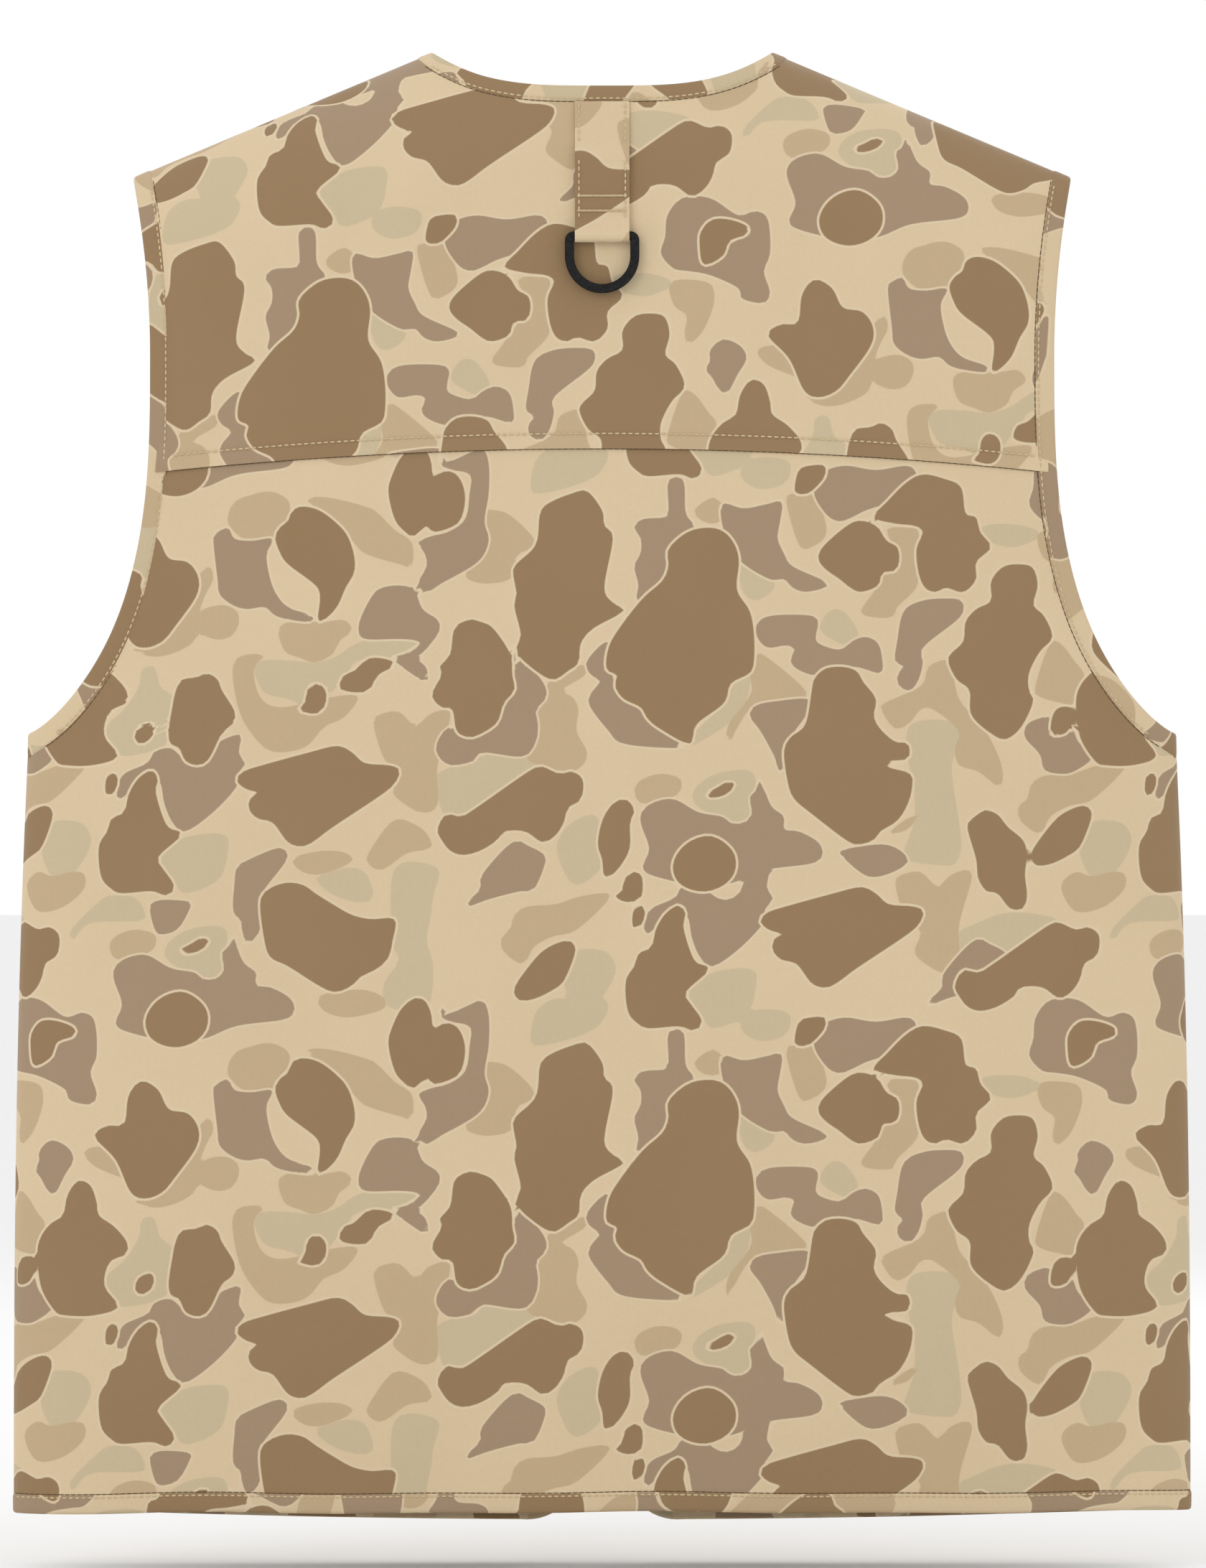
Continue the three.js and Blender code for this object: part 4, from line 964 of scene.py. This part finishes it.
def back_neck_binding():
    path = back_neck_path()
    stations = stations_of(path, normals_of(path), BACK, last_inward=RIDGE_OUT * [-1, 1],
                           first_inward=RIDGE_OUT)
    piece = band("back_neck_edge", stations, CUT_FROM["back_neck"], NECK_BINDING)
    return finish_piece(piece, "vest_body", "printed_binding", PRINT_BINDING, replaces=["neck_binding"])


def front_neck_binding(side):
    path = front_neck_path(80)
    stations = stations_of(path, normals_of(path, -1), FRONT, last_inward=RIDGE_OUT)
    mirror = side == "left"
    piece = band("front_neck_edge_" + side, stations, CUT_FROM["front_neck_" + side],
                 NECK_BINDING, mirror)
    finish_piece(piece, None, "printed_binding", PRINT_BINDING, replaces=["edge_neck_binding_" + side])
    return bend_at_fold(piece, side)


def back_hem_path():
    x = HEM_HALF * np.sin(np.linspace(math.pi / 2, -math.pi / 2, 260))
    return np.stack([x, back_hem(x)], 1)


def back_hem_binding():
    path = back_hem_path()
    stations = stations_of(path, normals_of(path, -1), BACK)
    piece = band("back_hem_edge", stations, CUT_FROM["back_hem"], BINDING)
    return finish_piece(piece, "vest_body", "printed_binding", PRINT_BINDING, replaces=["back_hem_binding"])


def front_hem_binding(side):
    path = front_hem_path()
    mirror = side == "left"
    stations = stations_of(path, normals_of(path), FRONT)
    piece = band("front_hem_edge_" + side, stations, CUT_FROM["front_hem_" + side],
                 BINDING, mirror)
    finish_piece(piece, None, "printed_binding", PRINT_BINDING,
                 replaces=["side_hem_binding_" + side, "edge_hem_binding_" + side])
    return bend_at_fold(piece, side)


# ------------------------------------------------------------------ ribbons: tab, flaps, loop

def resampled(line, step):
    line = np.array(line, float)
    run = np.concatenate([[0], np.cumsum(np.linalg.norm(np.diff(line, axis=0), axis=1))])
    at = np.linspace(0, run[-1], int(run[-1] / step) + 2)
    return np.stack([np.interp(at, run, line[:, k]) for k in range(2)], 1), at


def ribbon(name, middle, thickness, half_at, centre, face, offset, columns=14, step=1.6, mirror=False):
    """A strip seen from its edge: its middle line in lift and z, drawn out across x on the body."""
    line, at = resampled(middle, step)
    line[2:-2] = (line[1:-3] + 2 * line[2:-2] + line[3:-1]) / 4
    normal = normals_of(line)
    across = np.linspace(-1, 1, columns)
    x = centre + half_at(line[:, 1])[:, None] * across
    grids = []
    for side in (1, -1):
        offset_line = line + side * normal * thickness / 2
        grids.append(place(x, offset_line[:, 1:] + 0 * x, face, offset_line[:, :1] + 0 * x))
    uv = np.stack([(x - centre) * (-1 if mirror else 1), at[:, None] + 0 * x], -1)
    piece = shell(name, grids[0], grids[1], uv, offset, False, mirror)
    make_outward(piece)
    return piece


TAB_HALF = 12.7
TAB_LAYER = 1.2
TAB_UNDER = 640.0
REST_GAP = 0.45
SEAM_GAP = 0.3
BAR_HEIGHT = 603.8
BAR_RADIUS = 1.7
UNDER_LIFT = REST_GAP + TAB_LAYER / 2
OVER_LIFT = UNDER_LIFT + TAB_LAYER + SEAM_GAP
BAR_LIFT = REST_GAP + TAB_LAYER + BAR_RADIUS + SEAM_GAP


def ring_tab():
    turn_radius = BAR_RADIUS + SEAM_GAP + TAB_LAYER / 2
    turn = np.linspace(math.pi, 2.2 * math.pi, 16)
    fold = [(BAR_LIFT + turn_radius * math.cos(t), BAR_HEIGHT + turn_radius * math.sin(t)) for t in turn]
    neck_seam = NECK_HEIGHT - BACK_NECK_DROP - NECK_BINDING - SEAM_GAP
    middle = [(UNDER_LIFT, TAB_UNDER), (UNDER_LIFT, BAR_HEIGHT + turn_radius)] + fold + [
        (OVER_LIFT + TAB_LAYER / 2, BAR_HEIGHT + 2.2 * turn_radius),
        (OVER_LIFT, BAR_HEIGHT + 3 * turn_radius),
        (OVER_LIFT, TAB_UNDER + 1),
        (UNDER_LIFT, TAB_UNDER + 7),
        (UNDER_LIFT - 0.3, neck_seam)]
    piece = ribbon("ring_tab_cloth", middle, TAB_LAYER, lambda z: TAB_HALF + 0 * z, 0, BACK, CUT_FROM["tab"],
                   columns=22, step=1.2)
    return finish_piece(piece, "vest_body", "printed_tab", WRONG_SIDE, PRINT_BINDING, replaces=["ring_tab"])


def pocket_flap(spot, pocket, side):
    flap_lift = pocket["bulge"] + 1.1 + 2 * SEAM_GAP + 0.8
    top, drop = pocket["top"], pocket["flap"]
    shoulder = top + 0.8 + 3 * SEAM_GAP
    middle = [(REST_GAP + 0.5, top + 10), (REST_GAP + 0.5, top + 6), (flap_lift - 1.5, shoulder + 1.5),
              (flap_lift, shoulder - 1), (flap_lift + 0.2, top - drop * 0.5), (flap_lift, top - drop)]
    full = (pocket["outer"] - pocket["inner"]) / 2 + 2
    radius = 12.0

    def half_at(z):
        low = np.clip(radius - (z - (top - drop)), 0, radius)
        return full - (radius - np.sqrt(radius ** 2 - low ** 2))

    mirror = side == "left"
    centre = (pocket["inner"] + pocket["outer"]) / 2
    piece = ribbon(spot + "_flap_cloth_" + side, middle, 1.3, half_at, centre, FRONT,
                   (centre + 40, FLAP_CUT_HEIGHT[side]), 48, 2.0, mirror)
    body = spot + "_flap_" + side
    finish_piece(piece, body, "printed_poplin", PRINT, WRONG_SIDE,
                 replaces=["%s_pocket_flap_%s" % (spot, side)])
    edge = []
    for inset in (1.6, 7.5):
        down = np.linspace(top - 1, top - drop + inset, 16)
        right = np.stack([centre + half_at(down) - inset, down], 1)
        along = np.linspace(right[-1, 0], 2 * centre - right[-1, 0], 30)
        bottom = np.stack([along, np.full(30, down[-1])], 1)
        path = np.concatenate([right, bottom, right[::-1] * [-1, 1] + [2 * centre, 0]])
        edge += dashes(path, FRONT, flap_lift + 0.75, mirror=mirror)
    stitches = stitched("%s_flap_stitches_%s" % (spot, side), edge, body)
    return piece


def pocket_bag(spot, pocket, side):
    full = (pocket["outer"] - pocket["inner"]) / 2
    centre = (pocket["outer"] + pocket["inner"]) / 2
    corner, roll = 14.0, 10.0
    up = pocket["bottom"] + (pocket["top"] - pocket["bottom"]) * (1 - crowded(64, 0.12)[::-1])
    drop = np.clip(corner - (up - pocket["bottom"]), 0, corner)
    half = full - (corner - np.sqrt(corner ** 2 - drop ** 2))
    x = centre + half[:, None] * np.sin(np.linspace(-1.3, 1.3, 66)) / math.sin(1.3)
    z = up[:, None] + 0 * x

    def rounded(distance):
        return np.sqrt(1 - (1 - np.clip(distance / roll, 0, 1)) ** 2)

    sides = rounded(half[:, None] - np.abs(x - centre)) * rounded(z - pocket["bottom"])
    creases = 0.7 * np.sin(z / 9 + x / 30) * bump(np.abs(x - centre), full - 8, 10)
    lift = 0.2 + (pocket["bulge"] - 0.2 + creases) * sides
    mirror = side == "left"
    piece = panel(spot + "_pocket_cloth_" + side, x, z, FRONT, lift,
                  CUT_FROM["pocket_" + side], mirror)
    finish_piece(piece, "vest_body", "printed_poplin", PRINT, WRONG_SIDE,
                 replaces=["%s_pocket_bag_%s" % (spot, side)])
    down = np.linspace(pocket["top"] - 2, pocket["bottom"] + corner, 20)
    turn = np.linspace(0, math.pi / 2, 8)
    inset = 2.6
    right = np.stack([0 * down + centre + full + inset, down], 1)
    round_corner = np.stack([centre + full - corner + (corner + inset) * np.cos(turn),
                             pocket["bottom"] + corner - (corner + inset) * np.sin(turn)], 1)
    half_path = np.concatenate([right, round_corner])
    path = np.concatenate([half_path, half_path[::-1] * [-1, 1] + [2 * centre, 0]])
    stitches = stitched("%s_pocket_stitches_%s" % (spot, side),
                        dashes(path, FRONT, 0.15, mirror=mirror), "vest_body")


LOOP_HEIGHT, LOOP_SAG, LOOP_WIDTH, LOOP_HALF = 664, 12, 6, 28


def hang_loop():
    across = np.linspace(-1, 1, 40)
    line = LOOP_HEIGHT - LOOP_SAG * (1 - across ** 2)
    width = np.linspace(-LOOP_WIDTH / 2, LOOP_WIDTH / 2, 5)
    x = LOOP_HALF * across[None, :] + 0 * width[:, None]
    z = line[None, :] + width[:, None]
    piece = panel("hang_loop_tape", x, z, BACK, -2.0, (0, 0), thickness=1.1)
    return finish_piece(piece, "vest_body", "tape", TAPE, TAPE, replaces=["hang_loop"])


# ------------------------------------------------------------------ D-ring

RING_HALF = 15.25  # to the middle of the band
RING_BAND = 4.3
RING_THICK = 3.4
RING_BOTTOM = 26.8


def d_ring():
    """A rounded rectangular section swept round the D, and thinner and round along the bar."""
    bowl = RING_HALF + RING_BAND / 2 - RING_BOTTOM
    corner = 2.0
    line = [(s, 0.0) for s in np.linspace(-RING_HALF + corner, RING_HALF - corner, 14)]
    line += [(RING_HALF - corner * (1 - math.sin(t)), -corner * (1 - math.cos(t)))
             for t in np.linspace(0, math.pi / 2, 7)[1:]]
    line += [(RING_HALF * math.cos(t), bowl - RING_HALF * math.sin(t)) for t in np.linspace(0, math.pi, 60)]
    line += [(-RING_HALF + corner * (1 - math.sin(t)), -corner * (1 - math.cos(t)))
             for t in np.linspace(math.pi / 2, 0, 7)[:-1]]
    line = np.array(line)
    along = np.roll(line, -1, 0) - np.roll(line, 1, 0)
    along /= np.linalg.norm(along, axis=1, keepdims=True)
    out = np.stack([-along[:, 1], along[:, 0]], 1)
    turns = np.linspace(0, 2 * math.pi, 33)[:-1]
    points, on_face = [], []
    for (x, z), n in zip(line, out):
        bar = abs(x) < RING_HALF - corner and z > -0.5
        wide, thick, square = (BAR_RADIUS, BAR_RADIUS, 1.0) if bar else (RING_BAND / 2, RING_THICK / 2, 0.36)
        for t in turns:
            a = wide * math.copysign(abs(math.cos(t)) ** square, math.cos(t))
            b = thick * math.copysign(abs(math.sin(t)) ** square, math.sin(t))
            points.append((x + n[0] * a, -(BODY_DEPTH + BAR_LIFT) + b, BAR_HEIGHT + z + n[1] * a))
    rows, columns = len(line), len(turns)
    faces = []
    for j in range(rows):
        for i in range(columns):
            a, b = j * columns + i, j * columns + (i + 1) % columns
            c, d = ((j + 1) % rows) * columns + (i + 1) % columns, ((j + 1) % rows) * columns + i
            faces.append((a, b, c, d))
            on_face.append(abs(math.sin((turns[i] + math.pi / columns))) > 0.8)
    rim = [k for k, face in enumerate(on_face) if not face]
    piece = build("d_ring", metres(points), faces, rim)
    make_outward(piece)
    return finish_piece(piece, "back_d_ring", "black_plastic", BLACK, BLACK_SMOOTH, replaces=["back_d_ring"])


# ------------------------------------------------------------------ stitching

YOKE_STITCH_HALF = 203  # the yoke's stitches end short of the armhole bindings
TAB_STITCH_IN = 1.9
TAB_ROWS = (622.6, 615.6)  # heights of the zigzag rows across the tab, over its ring
TAB_STITCH_BOTTOM, TAB_STITCH_TOP = 611, 666


def inset_path(path, distance, side=1):
    return path + normals_of(path, side) * distance


def back_stitches():
    ends = []
    x = np.linspace(YOKE_STITCH_HALF, -YOKE_STITCH_HALF, 160)
    seam = np.stack([x, yoke_seam(x) + YOKE_STITCH_RISE], 1)
    ends += dashes(seam, BACK, 0.75)
    ends += dashes(inset_path(back_hem_path()[8:-8], BINDING - STITCH_IN, -1), BACK, STITCH_LIFT)
    ends += dashes(inset_path(back_neck_path()[6:-6], NECK_BINDING - STITCH_IN), BACK, STITCH_LIFT)
    for mirror in (False, True):
        for face in (BACK, FRONT):
            ends += dashes(inset_path(armhole_path()[12:-9], BINDING - 1.5), face, STITCH_LIFT, mirror=mirror)
    over = OVER_LIFT + TAB_LAYER / 2 + 0.3
    under = UNDER_LIFT + TAB_LAYER / 2 + 0.3
    for edge in (-TAB_HALF + TAB_STITCH_IN, TAB_HALF - TAB_STITCH_IN):
        ends += dashes([(edge, TAB_UNDER), (edge, TAB_STITCH_BOTTOM)], BACK, over)
        ends += dashes([(edge, TAB_STITCH_TOP), (edge, TAB_UNDER + 8)], BACK, under)
    for row in TAB_ROWS:
        for x in np.arange(-TAB_HALF + 1.2, TAB_HALF - 1.2, 0.8):
            ends += dashes([(x, row - 0.9), (x + 0.5, row + 0.9)], BACK, over, 3, 1.2)
    return stitched("back_stitches", ends, "vest_body")


def seam_shadow_lines():
    """A painted shadow: a thin dark line where each binding, and the yoke's edge, meets the cloth."""
    whole = dict(lift=0.02, pitch=3.0, length=3.1)
    x = np.linspace(YOKE_STITCH_HALF, -YOKE_STITCH_HALF, 200)
    ends = dashes(np.stack([x, yoke_seam(x) - 0.15], 1), BACK, **whole)
    ends += dashes(inset_path(back_hem_path()[3:-3], BINDING + 0.1, -1), BACK, **whole)
    ends += dashes(inset_path(back_neck_path()[3:-3], NECK_BINDING + 0.1), BACK, **whole)
    for mirror in (False, True):
        for face in (BACK, FRONT):
            ends += dashes(inset_path(armhole_path()[6:-6], BINDING + 0.1), face, mirror=mirror, **whole)
    piece = capsules("seam_shadow_lines", ends, 0.26 * MM)
    return finish_piece(piece, "vest_body", "printed_poplin", PAINTED_SEAM_SHADOW)


ZIP_BOTTOM = 28.0
ZIP_TOP = NECK_HEIGHT - FRONT_NECK_DROP - NECK_BINDING - 4


def front_stitches(side):
    mirror = side == "left"
    ends = []
    for inset in (2.2, 14.5):
        line = [(FRONT_EDGE + inset, z) for z in np.linspace(30, ZIP_TOP, 200)]
        ends += dashes(line, FRONT, 0.12, mirror=mirror)
    neck = inset_path(front_neck_path(80)[4:-10], NECK_BINDING - STITCH_IN, -1)
    ends += dashes(neck, FRONT, STITCH_LIFT, mirror=mirror)
    hem = inset_path(front_hem_path()[4:-6], BINDING - STITCH_IN)
    ends += dashes(hem, FRONT, STITCH_LIFT, mirror=mirror)
    return bend_at_fold(stitched("front_stitches_" + side, ends, None), side)


# ------------------------------------------------------------------ zip

COIL_MIDDLE = 5.8
TOOTH_PITCH = 1.5


def zip_teeth(side):
    """The zip's coil as a row of rounded teeth."""
    bottom = ZIP_BOTTOM + (8.6 if side == "right" else 14.6)
    sign = 1 if side == "right" else -1
    ends = []
    for z in np.arange(bottom, ZIP_TOP - 4, TOOTH_PITCH):
        pair = place(np.array([COIL_MIDDLE - 1.2, COIL_MIDDLE + 1.2]), z, FRONT, -0.7)
        up = place(COIL_MIDDLE, z, FRONT, 2) - place(COIL_MIDDLE, z, FRONT, 0)
        ends.append((pair[0] * [sign, 1, 1], pair[1] * [sign, 1, 1], up * [sign, 1, 1]))
    piece = capsules("zip_teeth_" + side, ends, 0.66 * MM, 1.0, 8)
    return finish_piece(piece, "front_edge_" + side, "nylon_coil", COIL, replaces=["zip_coil_" + side])


# ------------------------------------------------------------------ the assembly

CAD_MATERIALS = dict(tape=TAPE, dark_brass=BRASS)


def dress_cad_nodes():
    """Gives the CAD nodes that stay in sight their materials."""
    slots = {part["node"]: part["material_slot"] for part in frame["record"]["subparts"]}
    for name, node in frame["nodes"].items():
        if not node.hide_render and slots.get(name) in CAD_MATERIALS:
            node.data.materials.clear()
            node.data.materials.append(CAD_MATERIALS[slots[name]])
            node.data.set_sharp_from_angle(angle=math.radians(35))


sewn_back = [armhole_binding("right"), armhole_binding("left"), back_neck_binding(), back_hem_binding()]
thread = back_stitches()
seam_shadows = seam_shadow_lines()
back_panel()
back_yoke()
hang_loop()
for side in ("right", "left"):
    trims = [front_neck_binding(side), front_hem_binding(side), front_stitches(side)]
    front_panel(side)
    zip_teeth(side)
    for spot, pocket in (("chest", CHEST_POCKET), ("lower", LOWER_POCKET)):
        pocket_bag(spot, pocket, side)
        pocket_flap(spot, pocket, side)
ring_tab()
d_ring()
dress_cad_nodes()

# ------------------------------------------------------------------ floor, light and camera

MIDDLE_HEIGHT = -0.3438


def area_light(name, spot, size, power):
    data = bpy.data.lights.new(name, "AREA")
    data.shape = "SQUARE"
    data.size = size
    data.energy = power
    lamp = bpy.data.objects.new(name, data)
    lamp.location = spot
    aim = Vector((0, 0, MIDDLE_HEIGHT)) - Vector(spot)
    lamp.rotation_euler = aim.to_track_quat("-Z", "Y").to_euler()
    bpy.context.scene.collection.objects.link(lamp)


def floor():
    size, clearance = 30, 0.02
    mesh = bpy.data.meshes.new("floor")
    height = -NECK_HEIGHT * MM - clearance
    corners = [(-size, -size, height), (size, -size, height), (size, size, height), (-size, size, height)]
    mesh.from_pydata(corners, [], [(0, 1, 2, 3)])
    piece = bpy.data.objects.new("floor", mesh)
    nodes = Nodes("floor", 0.9)
    nodes.shader.inputs["Base Color"].default_value = (0.86, 0.86, 0.86, 1)
    mesh.materials.append(nodes.material)
    bpy.context.scene.collection.objects.link(piece)


def studio():
    world = bpy.data.worlds.new("studio")
    world.use_nodes = True
    world.node_tree.nodes["Background"].inputs["Color"].default_value = (1, 1, 1, 1)
    world.node_tree.nodes["Background"].inputs["Strength"].default_value = 1.0
    bpy.context.scene.world = world
    bpy.context.scene.view_settings.view_transform = "Standard"
    area_light("key", (-1.6, -2.6, 1.3), 1.6, 16)
    area_light("side", (2.6, -1.6, 0.4), 1.4, 3)
    area_light("front_key", (1.5, 2.7, 1.2), 1.6, 14)
    area_light("front_side", (-2.6, 1.6, 0.4), 1.4, 3)


def camera():
    distance, seen_height, sensor = 6.0, 0.7327, 24.0
    data = bpy.data.cameras.new("camera")
    data.sensor_fit = "VERTICAL"
    data.sensor_height = sensor
    data.lens = sensor * distance / seen_height
    eye = bpy.data.objects.new("camera", data)
    eye.location = (0.0004, -distance - BODY_DEPTH * MM, MIDDLE_HEIGHT)
    eye.rotation_euler = (math.pi / 2, 0, 0)
    bpy.context.scene.collection.objects.link(eye)
    bpy.context.scene.camera = eye


floor()
studio()
camera()
